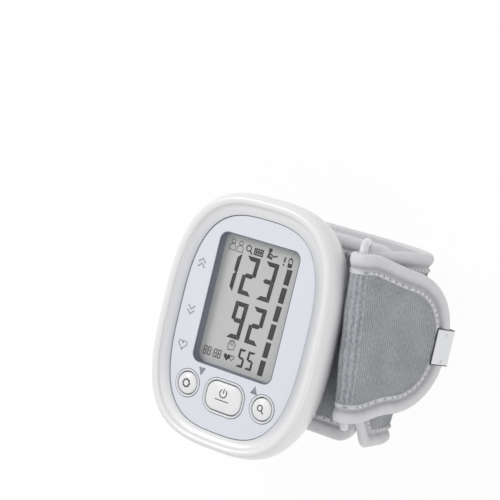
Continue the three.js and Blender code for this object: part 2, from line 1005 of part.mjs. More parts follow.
const foldRadius = ringWireRadius + clearance;
const foldAngle = THREE.MathUtils.degToRad(foldEntryAngle);
const hangAngle = THREE.MathUtils.degToRad(tongueAngle);
const onFold = (radius, angle) =>
  flat(ringCentre.x + radius * Math.cos(angle), ringCentre.y + radius * Math.sin(angle));
const hangWay = flat(Math.sin(hangAngle), -Math.cos(hangAngle));
const foldEntry = onFold(foldRadius, foldAngle);
const foldExit = onFold(foldRadius, hangAngle);
const riseShare = (z) => (z - riseHeight) / (foldEntry.y - riseHeight);

const flapTip = flat(flapEnd, cuffTop);
const flapStraight = flat(flapEnd - flapCornerRadius, cuffTop);
const leftTop = flat(-seatHalfLength, cuffTop);
const leftMost = flat(-loopLeft, leftFoldHeight);
const restStart = flat(-restLeft, 0);
const restEnd = flat(restRight, 0);
const rightSide = flat(loopRight, rightFoldHeight);
const rightTop = flat(riseOffset, riseHeight);
const rootEnd = foldExit.clone().addScaledVector(hangWay, tongueRootLength);

const strapRun = stations([
  [new THREE.LineCurve(flapTip, flapStraight), cornerSteps],
  [new THREE.LineCurve(flapStraight, leftTop), 1],
  [bend(leftTop, leftMost, leftTopShares), strapSteps],
  [bend(leftMost, restStart, leftBottomShares), strapSteps],
  [new THREE.LineCurve(restStart, restEnd), 1],
  [bend(restEnd, rightSide, rightBottomShares), strapSteps],
  [bend(rightSide, rightTop, rightSideShares), cornerSteps],
  [bend(rightTop, foldEntry, riseShares), strapSteps, riseShare],
  [
    new THREE.EllipseCurve(
      ringCentre.x,
      ringCentre.y,
      foldRadius,
      foldRadius,
      foldAngle,
      hangAngle,
      true,
    ),
    strapSteps,
    () => 1,
  ],
  [new THREE.LineCurve(foldExit, rootEnd), 1, () => 1],
]);

// The crest leans with the ring: higher and further left at the upper end
const foldPivot = new THREE.Vector3(ringCentre.x, foldAboveCentre, ringCentre.y);
const foldLean = new THREE.Quaternion().setFromUnitVectors(
  new THREE.Vector3(0, 1, 0),
  new THREE.Vector3(foldLeanAcross, foldLeanOver, foldLeanUp).normalize(),
);

function leaned(point, climb) {
  const turn = new THREE.Quaternion().slerp(foldLean, THREE.MathUtils.smoothstep(climb, 0, 1));
  return point.sub(foldPivot).applyQuaternion(turn).add(foldPivot);
}

// The strap's lower and upper edge at a station, drawn in by a margin
function strapEdges({ climb }, margin = 0) {
  const taper = THREE.MathUtils.smoothstep(climb, 0, taperShare);
  const centre = cuffAboveCentre + taper * (foldAboveCentre - cuffAboveCentre);
  const half = cuffWidth / 2 + taper * (foldHalfWidth - cuffWidth / 2) - margin;
  return [centre - half, centre + half];
}

// How much the flap's rounded corner takes off its edge
function cornerLoss({ run }) {
  const left = Math.max(0, flapCornerRadius - run);
  return flapCornerRadius - Math.sqrt(flapCornerRadius ** 2 - left ** 2);
}

// A band of a strip, between two distances in from its outer face and between two edges
function band(list, near, far, edgesAt) {
  return loft(
    list.map((station) => {
      const { at, way, climb } = station;
      const [low, high] = edgesAt(station);
      const corner = (depth, y) =>
        leaned(new THREE.Vector3(at.x - way.y * depth, y, at.y + way.x * depth), climb);
      return [corner(near, low), corner(near, high), corner(far, high), corner(far, low)];
    }),
  );
}

const strapHoles = (low, high) => [...stakeHoles(low, high), nippleHole(nippleRadius, low, high)];

const cuffStrap = () =>
  cut(
    band(strapRun, 0, strapThickness, (s) => strapEdges(s, bindingWidth + clearance)),
    ...strapHoles(stiffenerTop, cuffTop + overrun),
  );

const upperBinding = () =>
  band(strapRun, 0, strapThickness, (s) => [
    strapEdges(s, bindingWidth)[1],
    strapEdges(s, cornerLoss(s))[1],
  ]);

const lowerBinding = () =>
  band(strapRun, 0, strapThickness, (s) => [
    strapEdges(s, cornerLoss(s))[0],
    strapEdges(s, bindingWidth)[0],
  ]);

// Under the strap: a springy stiffener, then the bladder, then the padded lining
const stiffenerRun = stretch(
  strapRun,
  flapEnd - bladderStart,
  strapRun.find((s) => s.at.y < leftFoldHeight).run + leftFoldHeight / 2,
);
const stiffenerNear = strapThickness + clearance;

const cuffStiffener = () =>
  cut(
    band(stiffenerRun, stiffenerNear, stiffenerNear + stiffenerThickness, (s) =>
      strapEdges(s, linerMargin),
    ),
    ...stakeHoles(flangeLow - overrun, stiffenerTop + overrun),
    nippleHole(nippleFlangeRadius, flangeLow - overrun, stiffenerTop + overrun),
  );

const liningTop = flangeLow - bladderThickness - 2 * clearance;
const liningBottom = strapThickness + bladderThickness + 2 * clearance;
const liningEdge = flat(flapEnd - liningShort, stiffenerTop);
const liningHemEnd = flat(liningEdge.x - liningHem, stiffenerTop);
const liningSeat = flat(bladderStart + clearance, liningTop);
const liningTurnStart = flat(liningTurnRoom - seatHalfLength, liningTop);
const liningLeftMost = flat(liningLeftRoom - loopLeft, leftFoldHeight - liningShort);
const liningRest = flat(liningRestRun - restLeft, liningBottom);
const liningRestEnd = flat(restRight + liningRestPast, liningBottom);
const liningEnd = flat(loopRight - strapThickness - clearance, liningEndShare * cuffTop);

const liningRun = stations([
  [new THREE.LineCurve(liningEdge, liningHemEnd), 1],
  [bend(liningHemEnd, liningSeat, slopeShares), cornerSteps],
  [new THREE.LineCurve(liningSeat, liningTurnStart), 1],
  [bend(liningTurnStart, liningLeftMost, leftTopShares), strapSteps],
  [bend(liningLeftMost, liningRest, leftBottomShares), strapSteps],
  [new THREE.LineCurve(liningRest, liningRestEnd), 1],
  [bend(liningRestEnd, liningEnd, rightBottomShares), strapSteps],
]);

const cuffLining = () => band(liningRun, 0, liningThickness, (s) => strapEdges(s, liningInset));

const bladderRun = stretch(
  liningRun,
  liningRun.find((s) => s.at.x < liningSeat.x + weldDistance).run,
  liningRun.find((s) => s.at.x > 0 && s.at.y < liningTop).run - bladderEnd,
);
const airBladder = () =>
  band(bladderRun, -clearance - bladderThickness, -clearance, (s) => strapEdges(s, linerMargin));

const labelStart = flapEnd + seatHalfLength + labelPastTurn;
const careLabel = () =>
  band(
    stretch(strapRun, labelStart, labelStart + labelBreadth),
    -clearance - labelThickness,
    -clearance,
    (s) => strapEdges(s, bindingWidth + clearance),
  );

// The loop of tape that holds the ring's inner rail to the first layer of the strap
function ringLoop() {
  const rail = flat(ringCentre.x + ringReachAcross, ringCentre.y + ringReachDown);
  const radius = ringWireRadius + clearance + loopPlyThickness;
  const around = Math.PI - foldAngle;
  const onRail = (angle) =>
    flat(rail.x + radius * Math.cos(angle), rail.y + radius * Math.sin(angle));
  const lower = cuffTop + clearance;
  const upper = lower + 2 * loopPlyThickness + clearance;
  const climb = (z) => THREE.MathUtils.clamp((z - upper) / (onRail(around).y - upper), 0, 1);
  const foot = flat(ringOffset - loopTabSetBack, lower);
  const heel = flat(foot.x - radius, upper);
  const tabEnd = foot.x - loopTabLength;
  const run = stations([
    [new THREE.LineCurve(flat(tabEnd, lower), foot), 1],
    [bend(foot, onRail(around), rightBottomShares), strapSteps, climb],
    [
      new THREE.EllipseCurve(rail.x, rail.y, radius, radius, around, foldAngle, false),
      strapSteps,
      () => 1,
    ],
    [bend(onRail(foldAngle), heel, leftBottomShares), strapSteps, climb],
    [new THREE.LineCurve(heel, flat(tabEnd, upper)), 1],
  ]);
  return band(run, 0, loopPlyThickness, () => [
    foldAboveCentre - loopTabWidth / 2,
    foldAboveCentre + loopTabWidth / 2,
  ]);
}

// The ring, in the leaned frame of the fold: its outer rail lies on the pivot
function ring() {
  const reach = new THREE.Vector3(ringReachAcross, 0, ringReachDown);
  const across = reach.clone().normalize();
  const side = new THREE.Vector3(across.z, 0, -across.x);
  const turnRadius = 2 * ringWireRadius;
  const halfReach = reach.length() / 2;
  const halfLength = foldHalfWidth + ringRoom + ringWireRadius;
  const rings = [];
  for (let q = 0; q < 4; q += 1) {
    const signs = [q === 0 || q === 3 ? 1 : -1, q < 2 ? 1 : -1];
    for (let i = 0; i <= cornerSteps; i += 1) {
      const angle = ((q + i / cornerSteps) * Math.PI) / 2;
      const out = [Math.cos(angle), Math.sin(angle)];
      rings.push(
        Array.from({ length: wireSteps }, (_, k) => {
          const turn = (2 * Math.PI * k) / wireSteps;
          const wide = turnRadius + ringWireRadius * Math.cos(turn);
          const a = signs[0] * (halfReach - turnRadius) + out[0] * wide;
          const b = signs[1] * (halfLength - turnRadius) + out[1] * wide;
          return new THREE.Vector3(0, b, 0)
            .addScaledVector(across, halfReach + a)
            .addScaledVector(side, ringWireRadius * Math.sin(turn));
        }),
      );
    }
  }
  return loft(rings, true);
}

// The tongue, in its own frame: X towards its lower edge, Y to its tip, Z out of its face.
// Its tip is sewn a little askew, turned towards the lower edge
const askew = -THREE.MathUtils.degToRad(tongueTurn);

function tongueOutline(inset, start = 0) {
  const shape = new THREE.Shape();
  const root = foldHalfWidth - inset;
  const radius = tongueCornerRadius - inset;
  const corners = [tongueTipHalfWidth, -tongueTipHalfWidth].map((x) =>
    flat(x, tongueLength - tongueCornerRadius).rotateAround(flat(0, 0), askew),
  );
  shape.moveTo(-root, start);
  shape.lineTo(root, start);
  shape.lineTo(root, 0);
  corners.forEach(({ x, y }, i) => {
    const from = askew + (i * Math.PI) / 2;
    shape.absarc(x, y, radius, from, from + Math.PI / 2);
  });
  shape.lineTo(-root, 0);
  shape.closePath();
  return shape;
}

const tongueFlap = () =>
  plate(tongueOutline(bindingWidth + clearance), -strapThickness, 0, tongueSteps);

const tongueBinding = () =>
  cut(
    plate(tongueOutline(0), -strapThickness, 0, tongueSteps),
    plate(
      tongueOutline(bindingWidth, -overrun),
      -strapThickness - overrun,
      overrun,
      tongueSteps,
    ),
  );

const clipEnd = tongueLength + clearance + clipMetal;

function endClip() {
  const face = clearance + clipMetal;
  const outside = block(
    -clipWidth / 2,
    clipWidth / 2,
    clipEnd - clipLength,
    clipEnd,
    -strapThickness - face,
    face,
  );
  const slot = block(
    -clipWidth,
    clipWidth,
    clipEnd - clipLength - overrun,
    clipEnd - clipMetal,
    -strapThickness - clearance,
    clearance,
  );
  return cut(outside, slot).translate(-clipAbove, 0, 0).rotateZ(askew);
}

const hookPatch = () =>
  block(
    -hookPatchWidth / 2,
    hookPatchWidth / 2,
    hookPatchStart,
    clipEnd - clipLength - hookPatchRoom,
    -strapThickness - clearance - hookPatchThickness,
    -strapThickness - clearance,
  ).rotateZ(askew);

// Colours and finishes
const finish = (color, roughness, metalness = 0) =>
  new THREE.MeshStandardMaterial({ color, roughness, metalness });
const whitePlastic = finish("#ebebeb", 0.35);
const panelPlastic = finish("#dde0e8", 0.3);
const innerPlastic = finish("#d8d8d6", 0.55);
const darkPlastic = finish("#3a3b3d", 0.5);
const clearPlastic = finish("#dfe6e8", 0.05);
const displayGlass = finish("#c4c4c2", 0.25);
const boardGreen = finish("#2f6b46", 0.5);
const chipBlack = finish("#1d1d1f", 0.4);
const metalSheet = finish("#b9bcc0", 0.35, 0.9);
const steel = finish("#c9cacc", 0.3, 1);
const cellSleeve = finish("#5d6a78", 0.35);
const siliconeTube = finish("#d9d6cf", 0.6);
const bladderFilm = finish("#8b8f96", 0.5);
const cuffFabric = finish("#707379", 0.95);
const bindingFabric = finish("#c9c9cc", 0.85);
const liningFabric = finish("#b9babd", 0.9);
const labelFabric = finish("#cdd2d8", 0.7);
const hookTape = finish("#55565a", 0.9);
const clipPlastic = finish("#e2e3e5", 0.3);

function piece(parent, name, geometry, material) {
  const mesh = new THREE.Mesh(geometry, material);
  mesh.name = name;
  parent.add(mesh);
}

function group(parent, name) {
  const made = new THREE.Group();
  made.name = name;
  parent.add(made);
  return made;
}

const monitor = new THREE.Group();
monitor.name = "wrist_monitor";

const housing = group(monitor, "housing");
piece(housing, "front_housing", frontHousing(), whitePlastic);
piece(housing, "rear_housing", rearHousing(), whitePlastic);
piece(housing, "battery_door", batteryDoor(), whitePlastic);
piece(housing, "face_panel", facePanel(), panelPlastic);
piece(housing, "display_window", displayWindow(), clearPlastic);
bossPlaces.forEach((place, i) => piece(housing, `housing_screw_${i + 1}`, screw(place), steel));

const display = group(monitor, "display");
piece(display, "lcd_glass", lcdGlass(), displayGlass);
piece(display, "lcd_frame", lcdFrame(), darkPlastic);
piece(display, "display_connector", displayConnector(), darkPlastic);

const electronics = group(monitor, "electronics");
piece(electronics, "main_pcb", mainBoard(), boardGreen);
piece(
  electronics,
  "processor_chip",
  onBoard(
    processorSize,
    processorSize,
    processorHeight,
    boardWidth / 2 - processorInset,
    trayLow - processorDrop,
  ),
  chipBlack,
);
const buzzerAcross = boardWidth / 2 - buzzerInset;
piece(
  electronics,
  "pressure_sensor",
  onBoard(
    sensorSize,
    sensorSize,
    sensorHeight,
    buzzerAcross - buzzerRadius - sensorGap - sensorSize / 2,
    trayLow - sensorDrop,
  ),
  darkPlastic,
);
const buzzerTop = level(boardBack + clearance);
piece(
  electronics,
  "buzzer",
  rod(
    buzzerRadius,
    buzzerAcross,
    trayLow - buzzerDrop,
    buzzerTop - buzzerHeight,
    buzzerTop,
  ),
  chipBlack,
);
for (const button of buttons) {
  piece(electronics, `${button.name}_button`, buttonCap(button), whitePlastic);
  piece(electronics, `${button.name}_plunger`, plunger(button), darkPlastic);
  piece(electronics, `${button.name}_switch`, switchBody(button), darkPlastic);
}

const power = group(monitor, "power");
cellPlaces.forEach((y, i) => {
  const side = i % 2 ? -1 : 1;
  piece(power, `battery_${i + 1}`, cell(y, side), cellSleeve);
  piece(power, `contact_plate_${i + 1}`, contactPlate(y, side), metalSheet);
  piece(power, `contact_spring_${i + 1}`, contactSpring(y, -side), steel);
});

const air = group(monitor, "air_system");
piece(air, "air_pump", alongY(pumpRadius, pumpLow, pumpHigh, pumpOffset), metalSheet);
piece(air, "pump_head", pumpHead(), innerPlastic);
piece(air, "release_valve", valve(), innerPlastic);
piece(air, "air_hose", airHose(), siliconeTube);
piece(air, "air_nipple", airNipple(), innerPlastic);

const cuff = group(monitor, "cuff");
piece(cuff, "cuff_strap", cuffStrap(), cuffFabric);
piece(cuff, "upper_binding", upperBinding(), bindingFabric);
piece(cuff, "lower_binding", lowerBinding(), bindingFabric);
piece(cuff, "cuff_stiffener", cuffStiffener(), innerPlastic);
piece(cuff, "air_bladder", airBladder(), bladderFilm);
piece(cuff, "cuff_lining", cuffLining(), liningFabric);
piece(cuff, "care_label", careLabel(), labelFabric);
piece(cuff, "ring_loop", ringLoop(), bindingFabric);

const foldFrame = group(cuff, "fold_frame");
foldFrame.position.copy(foldPivot);
foldFrame.quaternion.copy(foldLean);
piece(foldFrame, "d_ring", ring(), metalSheet);

const tongue = group(foldFrame, "tongue");
const faceWay = new THREE.Vector3(-hangWay.y, 0, hangWay.x);
const rootAway = tongueRootLength + clearance;
tongue.applyMatrix4(
  new THREE.Matrix4()
    .makeBasis(
      new THREE.Vector3(0, -1, 0),
      new THREE.Vector3(hangWay.x, 0, hangWay.y),
      faceWay,
    )
    .setPosition(
      faceWay
        .clone()
        .multiplyScalar(foldRadius + strapThickness)
        .add(new THREE.Vector3(hangWay.x * rootAway, 0, hangWay.y * rootAway)),
    ),
);
piece(tongue, "tongue_flap", tongueFlap(), cuffFabric);
piece(tongue, "tongue_binding", tongueBinding(), bindingFabric);
piece(tongue, "end_clip", endClip(), clipPlastic);
piece(tongue, "hook_patch", hookPatch(), hookTape);

export default monitor;
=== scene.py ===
import math

import bmesh
import bpy
import numpy as np
from mathutils import Matrix, Vector
from mathutils.bvhtree import BVHTree


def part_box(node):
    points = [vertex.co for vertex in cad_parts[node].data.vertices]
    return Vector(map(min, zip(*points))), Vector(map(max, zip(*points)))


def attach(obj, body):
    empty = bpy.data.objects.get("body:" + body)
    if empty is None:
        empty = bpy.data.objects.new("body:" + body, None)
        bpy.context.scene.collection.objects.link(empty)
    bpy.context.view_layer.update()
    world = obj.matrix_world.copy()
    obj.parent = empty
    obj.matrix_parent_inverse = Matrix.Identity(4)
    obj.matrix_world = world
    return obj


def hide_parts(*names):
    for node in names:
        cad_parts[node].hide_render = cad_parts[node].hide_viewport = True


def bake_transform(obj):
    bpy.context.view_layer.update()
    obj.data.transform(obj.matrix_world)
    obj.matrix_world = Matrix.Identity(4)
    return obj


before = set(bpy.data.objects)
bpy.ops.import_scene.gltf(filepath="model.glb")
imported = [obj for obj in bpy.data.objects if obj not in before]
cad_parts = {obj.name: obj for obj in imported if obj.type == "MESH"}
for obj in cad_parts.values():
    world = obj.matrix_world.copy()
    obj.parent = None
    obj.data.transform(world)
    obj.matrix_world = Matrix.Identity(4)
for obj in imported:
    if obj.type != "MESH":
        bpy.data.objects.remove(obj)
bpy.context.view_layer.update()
scene = bpy.context.scene

# The script works in millimetres, in the row frame, and turns them into metres in its meshes
MM = 0.001
OVERRUN = 1
SEAM = 0.3
SAME_PLACE = 1e-5


def span(*nodes):
    """Lowest and highest corner of CAD nodes"""
    boxes = [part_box(node) for node in nodes]
    low = np.min([np.array(box[0]) for box in boxes], axis=0) / MM
    high = np.max([np.array(box[1]) for box in boxes], axis=0) / MM
    return low, high


# Housing, measured on the CAD part or as it is there
HALF_WIDTH, HALF_HEIGHT, CREST_LEVEL = span("front_housing")[1]
FACE_LEVEL = span("face_panel")[1][2]
BACK_LEVEL = span("battery_door")[0][2]
HOUSING_DEPTH = FACE_LEVEL - BACK_LEVEL
PARTING_DEPTH = FACE_LEVEL - span("front_housing")[0][2]
PANEL_DEPTH = FACE_LEVEL - span("face_panel")[0][2]
RIM_RISE = CREST_LEVEL - FACE_LEVEL
OUTLINE_POWER_SHARE = 2 / 3
LOWER_INSET_SHARE = 0.8
WIDEST_DEPTH = 3
BACK_DRAW_SHARE = 0.4
BACK_ROUND_SHARE = 1.5
WALL = 1.8
RIM_INSET = 2.6
RIM_INNER_WIDTH = 1.4
RIM_INNER_DROP = 0.5
CREST_SHARES = (0.35, 0.65, 0.9, 1)
PANEL_INSET = HALF_WIDTH - span("face_panel")[1][0] - SEAM
COVE_WIDTH = PANEL_INSET - RIM_INSET - RIM_INNER_WIDTH
PANEL_STEP = 0.4
DECK_THICKNESS = 2
DOOR_SEAM = 20.5
DOOR_SEAM_DEPTH = 8
DOOR_WALL = 1.6
TAB_WIDTH = 10
TAB_LENGTH = 6
TAB_THICKNESS = 1.2
RAIL_LENGTH = 7
RAIL_BREADTH = 3
RAIL_THICKNESS = 1.2
TRAY_WALL = 1
TRAY_ROOM = 0.35
EDGE_ROUND = 0.22
PANEL_ROUND = 0.3
EDGE_TURN = 50
OUTLINE_STEPS = 168
RIM_STEPS = 12
SIDE_STEPS = 12

# Display
WINDOW_LOW, WINDOW_HIGH = span("display_window")
WINDOW_RADIUS = 3
WALL_FILM = 0.35
WALL_GAP = 0.28
WALL_DROP = 0.12
PANE_DROP = 0.1
PANE_THICKNESS = 0.8
GLASS_LEVEL = span("lcd_glass")[1][2]
INK = 0.05

# Buttons
BUTTON_FLANGE = 0.9
BUTTON_GAP = 0.4
FLANGE_THICKNESS = 0.8
CAP_ROUND = 0.8
CAP_DOME = 0.5
CAP_STEPS = 8
DOME_SHARES = np.linspace(1, 0.05, 12)[1:]
LIP_GAP = 0.5
LIP_WIDTH = 0.6
LIP_RISE = 0.4
LIP_ROOT = 0.3
LIP_FULL_SHARE = 0.7
LIP_STEPS = 12
# The groove round each lip is a flat dark ring of painted shade: its width, depth and rise
GROOVE_WIDTH = 0.25
GROOVE_DEPTH = 0.1
GROOVE_RISE = 0.03
START_RADIUS = 4

# Cuff: the strap's outer face as on the CAD part
CUFF_TOP = FACE_LEVEL - HOUSING_DEPTH - SEAM
CUFF_WIDTH = 72
CUFF_HALF = CUFF_WIDTH / 2
CUFF_ABOVE = 3
BINDING_WIDTH = 7
STRAP_THICKNESS = 2.2
LINING_THICKNESS = 1.2
RING_CENTRE = np.array([39.6, 58.3])
RING_REACH = np.array([-4.1, -10])
RING_WIRE = 1.5
RISE_OFFSET = 43.5
RISE_LEVEL = 36
FLAP_END = 40.4
FLAP_CORNER = 7.6
SEAT_LEFT = -26
FOLD_LEFT = np.array([-46, 24])
REST_START = np.array([-18, 0])
REST_END = np.array([10, 0])
FOLD_RIGHT = np.array([41.5, 19])
FOLD_HALF = 30
FOLD_ABOVE = 6.5
LEAN_TO = np.array([-4.2, 62, 9])
FOLD_ENTRY_ANGLE = math.radians(200)
CREST_ANGLE = math.radians(100)
HANG_ANGLE = math.radians(22.5)
ROOT_LENGTH = 4
LEFT_TOP_SHARES = ((0.6, 0), (1, 0.435))
LEFT_BOTTOM_SHARES = ((0, 0.54), (0.43, 1))
RIGHT_BOTTOM_SHARES = ((0.44, 0), (0.94, 0.42))
RIGHT_SIDE_SHARES = ((0.65, 0.35), (0.75, 0.7))
RISE_SHARES = ((-0.14, 0.35), (0.59, 0.7))
SLOPE_SHARES = ((0.5, 0), (0.5, 1))
TAPER_SHARE = 0.8
TONGUE_TURN = math.radians(8)
TONGUE_LENGTH = 35.6
TONGUE_CORNER = 22.5
TONGUE_TIP_HALF = 3.4
CURVE_SAMPLES = 240

# Binding: how high it rolls over the fabric, and its stitches
BINDING_ROLL = 0.85
STITCH_LENGTH = 2.1
STITCH_PITCH = 3.1
STITCH_RADIUS = 0.2
STITCH_INSET = 0.75
HOLE_REACH = 0.7

# Surfaces as their materials show them: sizes and bump heights
RIB_PITCH = 0.95
RIB_DRIFT = 4
CREASE_INSET = 4.7
GRAIN_BUMP = 0.004
FABRIC_BUMP = 0.3
TWILL_BUMP = 0.12
KNIT_BUMP = 0.1
PANE_BUMP = 0.002

# Noise: its scale, per metre of the object or per millimetre of the cloth, and its detail
MOULD_NOISE = (2500, 2)
METAL_NOISE = (1800, 2)
PANE_NOISE = (60, 2)
DISPLAY_NOISE = (25, 1)
KNIT_NOISE = (400, 3)
YARN_NOISE = (3500, 2)
STREAK_NOISE = (3.6, 3)
DRIFT_NOISE = (0.25, 2)
PILE_NOISE = (9, 3)
WEAR_NOISE = (0.09, 1)
CLOUD_NOISE = (0.35, 3)
TAPE_NOISE = (1.2, 3)


# Colours are written as the photograph shows them
def linear(code):
    """A colour written in six hexadecimal digits, in linear light, with full alpha"""
    parts = [int(code[i : i + 2], 16) / 255 for i in (0, 2, 4)]
    return *(c / 12.92 if c <= 0.04045 else ((c + 0.055) / 1.055) ** 2.4 for c in parts), 1


def coordinates(mesh):
    values = np.empty(len(mesh.vertices) * 3, np.float32)
    mesh.vertices.foreach_get("co", values)
    return values.reshape(-1, 3).astype(float)


class Shade:
    """A material with one Principled shader, and the nodes that feed it"""

    def __init__(self, name, color, roughness, **values):
        self.material = bpy.data.materials.new(name)
        self.material.use_nodes = True
        self.nodes = self.material.node_tree.nodes
        self.links = self.material.node_tree.links
        self.shader = self.nodes["Principled BSDF"]
        self.shader.inputs["Base Color"].default_value = linear(color)
        self.shader.inputs["Roughness"].default_value = roughness
        for key, value in values.items():
            self.shader.inputs[key.replace("_", " ").title()].default_value = value

    def feed(self, socket, value):
        """Links another node's output, or sets a plain value"""
        if isinstance(value, bpy.types.NodeSocket):
            self.links.new(value, socket)
        else:
            socket.default_value = value

    def math(self, operation, *inputs):
        made = self.nodes.new("ShaderNodeMath")
        made.operation = operation
        for socket, value in zip(made.inputs, inputs):
            self.feed(socket, value)
        return made.outputs[0]

    def vector_math(self, operation, *inputs):
        made = self.nodes.new("ShaderNodeVectorMath")
        made.operation = operation
        for socket, value in zip(made.inputs, inputs):
            self.feed(socket, value)
        return made.outputs

    def layers(self, base, *layers):
        """A value with others added to it, each by its own weight"""
        for value, weight in layers:
            base = self.math("MULTIPLY_ADD", value, weight, base)
        return base

    def place(self):
        return self.nodes.new("ShaderNodeTexCoord").outputs["Object"]

    def marked(self, name, output="Fac"):
        """What the mesh's points carry under a name"""
        made = self.nodes.new("ShaderNodeAttribute")
        made.attribute_name = name
        return made.outputs[output]

    def strip(self):
        """Distances along and across the cloth, in millimetres, together and one by one"""
        vector = self.marked("strip", "Vector")
        parts = self.nodes.new("ShaderNodeSeparateXYZ")
        self.feed(parts.inputs[0], vector)
        return vector, parts.outputs["X"], parts.outputs["Y"]

    def noise(self, scale, detail, vector=None):
        """Noise over the object's own space, per metre, or over the cloth, per millimetre"""
        made = self.nodes.new("ShaderNodeTexNoise")
        self.feed(made.inputs["Vector"], vector or self.place())
        self.feed(made.inputs["Scale"], scale)
        self.feed(made.inputs["Detail"], detail)
        return made.outputs["Fac"]

    def bump(self, height, distance, strength=1):
        made = self.nodes.new("ShaderNodeBump")
        self.feed(made.inputs["Distance"], distance * MM)
        self.feed(made.inputs["Strength"], strength)
        self.feed(made.inputs["Height"], height)
        self.feed(self.shader.inputs["Normal"], made.outputs["Normal"])
        return self.material

    def mottle(self, amount, light, dark):
        """Base colour between two tones by a factor"""
        mix = self.nodes.new("ShaderNodeMix")
        mix.data_type = "RGBA"
        self.feed(mix.inputs["Factor"], amount)
        self.feed(mix.inputs["A"], linear(dark))
        self.feed(mix.inputs["B"], linear(light))
        self.feed(self.shader.inputs["Base Color"], mix.outputs["Result"])
        return self.material


def moulded(name, color, roughness, grain=GRAIN_BUMP, coat=0.0):
    """Moulded plastic with a faint grain"""
    shade = Shade(name, color, roughness, coat_weight=coat, coat_roughness=0.08)
    return shade.bump(shade.noise(*MOULD_NOISE), grain)


def plastic_with_painted_cove_shade(name, light, dark):
    """White plastic, greyer down the cove with painted shade"""
    shade = Shade(name, light, 0.32, coat_weight=0.35, coat_roughness=0.12)
    return shade.mottle(shade.math("SUBTRACT", 1, shade.marked("cove")), light, dark)


# Painted shade on the clip: the dark line's width, and how sharply it fades
CLIP_SHADE_LINE = 0.5
CLIP_SHADE_FADE = 3


def clip_with_painted_edge_shade(name, face, edge):
    """Bright sheet metal with painted shade: dark lines where it ends and where it grips the cloth
    """
    shade = Shade(name, face, 0.22, coat_weight=0.4, coat_roughness=0.08)
    points = coordinates(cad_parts["end_clip"].data)
    middle = points.mean(axis=0)
    long, out = np.linalg.svd(points - middle, full_matrices=False)[2][:2]
    out *= np.sign(out[0])
    place = shade.place()

    def from_edge(axis):
        reach = np.abs((points - middle) @ axis).max()
        along = shade.vector_math("DOT_PRODUCT", place, tuple(axis))["Value"]
        off = shade.math("SUBTRACT", along, float(middle @ axis))
        off = shade.math("ABSOLUTE", off) if axis is long else shade.math("MULTIPLY", off, -1)
        return shade.math("DIVIDE", shade.math("SUBTRACT", float(reach), off), CLIP_SHADE_LINE * MM)

    near = shade.math("MINIMUM", from_edge(long), from_edge(out))
    sharp = shade.math("MULTIPLY_ADD", near, CLIP_SHADE_FADE, 1 - CLIP_SHADE_FADE)
    return shade.mottle(sharp, face, edge)


def metal(name, color, roughness):
    shade = Shade(name, color, roughness, metallic=1.0)
    return shade.bump(shade.noise(*METAL_NOISE), GRAIN_BUMP)


def ribbed_fabric(name, light, dark):
    """Knitted elastic loop fabric: fine ribs across the strap and a short worn pile"""
    shade = Shade(name, light, 0.92, sheen_weight=0.35)
    vector, along, across = shade.strip()
    stretched = shade.vector_math("MULTIPLY", vector, (1, 0.2, 1))["Vector"]
    streaks = shade.noise(*STREAK_NOISE, stretched)
    drift = shade.math("MULTIPLY", shade.noise(*DRIFT_NOISE, vector), RIB_DRIFT)
    phase = shade.math("MULTIPLY_ADD", along, 2 * math.pi / RIB_PITCH, drift)
    rib = shade.math("SINE", phase)
    pile = shade.noise(*PILE_NOISE, vector)
    wear = shade.noise(*WEAR_NOISE, vector)
    tone = shade.layers(-0.7, (streaks, 1.3), (wear, 0.5), (pile, 0.6), (rib, 0.15))
    shade.mottle(tone, light, dark)
    return shade.bump(shade.layers(pile, (rib, 0.3), (streaks, 0.4)), FABRIC_BUMP, 0.8)


def painted_needle_hole_shade(shade, along, across):
    """Painted shade in the needle holes between the stitches"""
    turn = 2 * math.pi / STITCH_PITCH
    middle = STITCH_PITCH / 2 + (STITCH_LENGTH + STITCH_PITCH) / 2
    beat = shade.math("COSINE", shade.math("MULTIPLY_ADD", along, turn, -middle * turn))
    away = shade.math("ABSOLUTE", shade.math("SUBTRACT", across, BINDING_WIDTH - STITCH_INSET))
    near = shade.math("MULTIPLY_ADD", away, -1 / HOLE_REACH, 1)
    beat = shade.math("POWER", shade.math("MAXIMUM", beat, 0), 2)
    return shade.math("MULTIPLY", beat, shade.math("MAXIMUM", near, 0))


def satin(name, light, dark, weave=0.5, crease_shade=0):
    """Smooth woven tape with a fine diagonal twill, greyer with painted shade in the crease where it
    is sewn down
    """
    shade = Shade(name, light, 0.6, sheen_weight=0.3)
    vector, along, across = shade.strip()
    diagonal = shade.math("ADD", across, along)
    twill = shade.math("SINE", shade.math("MULTIPLY", diagonal, 2 * math.pi / weave))
    tone = shade.layers(0.8, (shade.noise(*CLOUD_NOISE, vector), 0.3))
    if crease_shade:
        # Painted shade in the binding's crease beside the stitches
        away = shade.math("SUBTRACT", across, CREASE_INSET)
        far = shade.math("POWER", shade.math("ABSOLUTE", away), 2)
        sewn = shade.math("DIVIDE", crease_shade, shade.math("ADD", far, 1))
        tone = shade.math("SUBTRACT", tone, sewn)
        tone = shade.math("SUBTRACT", tone, painted_needle_hole_shade(shade, along, across))
    shade.mottle(tone, light, dark)
    height = shade.layers(shade.noise(*TAPE_NOISE, vector), (twill, 0.25))
    return shade.bump(height, TWILL_BUMP, 0.6)


def plain_cloth(name, light, dark):
    """Knitted cloth by the object's own space, for what has no strip coordinates"""
    shade = Shade(name, light, 0.9, sheen_weight=0.25)
    shade.mottle(shade.noise(*KNIT_NOISE), light, dark)
    return shade.bump(shade.noise(*YARN_NOISE), KNIT_BUMP, 0.7)


def clear(name, color):
    shade = Shade(name, color, 0.04, alpha=0.03)
    shade.shader.inputs["Specular IOR Level"].default_value = 0.2
    return shade.bump(shade.noise(*PANE_NOISE), PANE_BUMP)


def display_face(name, face, light, dark):
    """The display's grey, with painted shade making it a shade darker towards one side"""
    shade = Shade(name, face, 0.32)
    return shade.mottle(shade.noise(*DISPLAY_NOISE), light, dark)
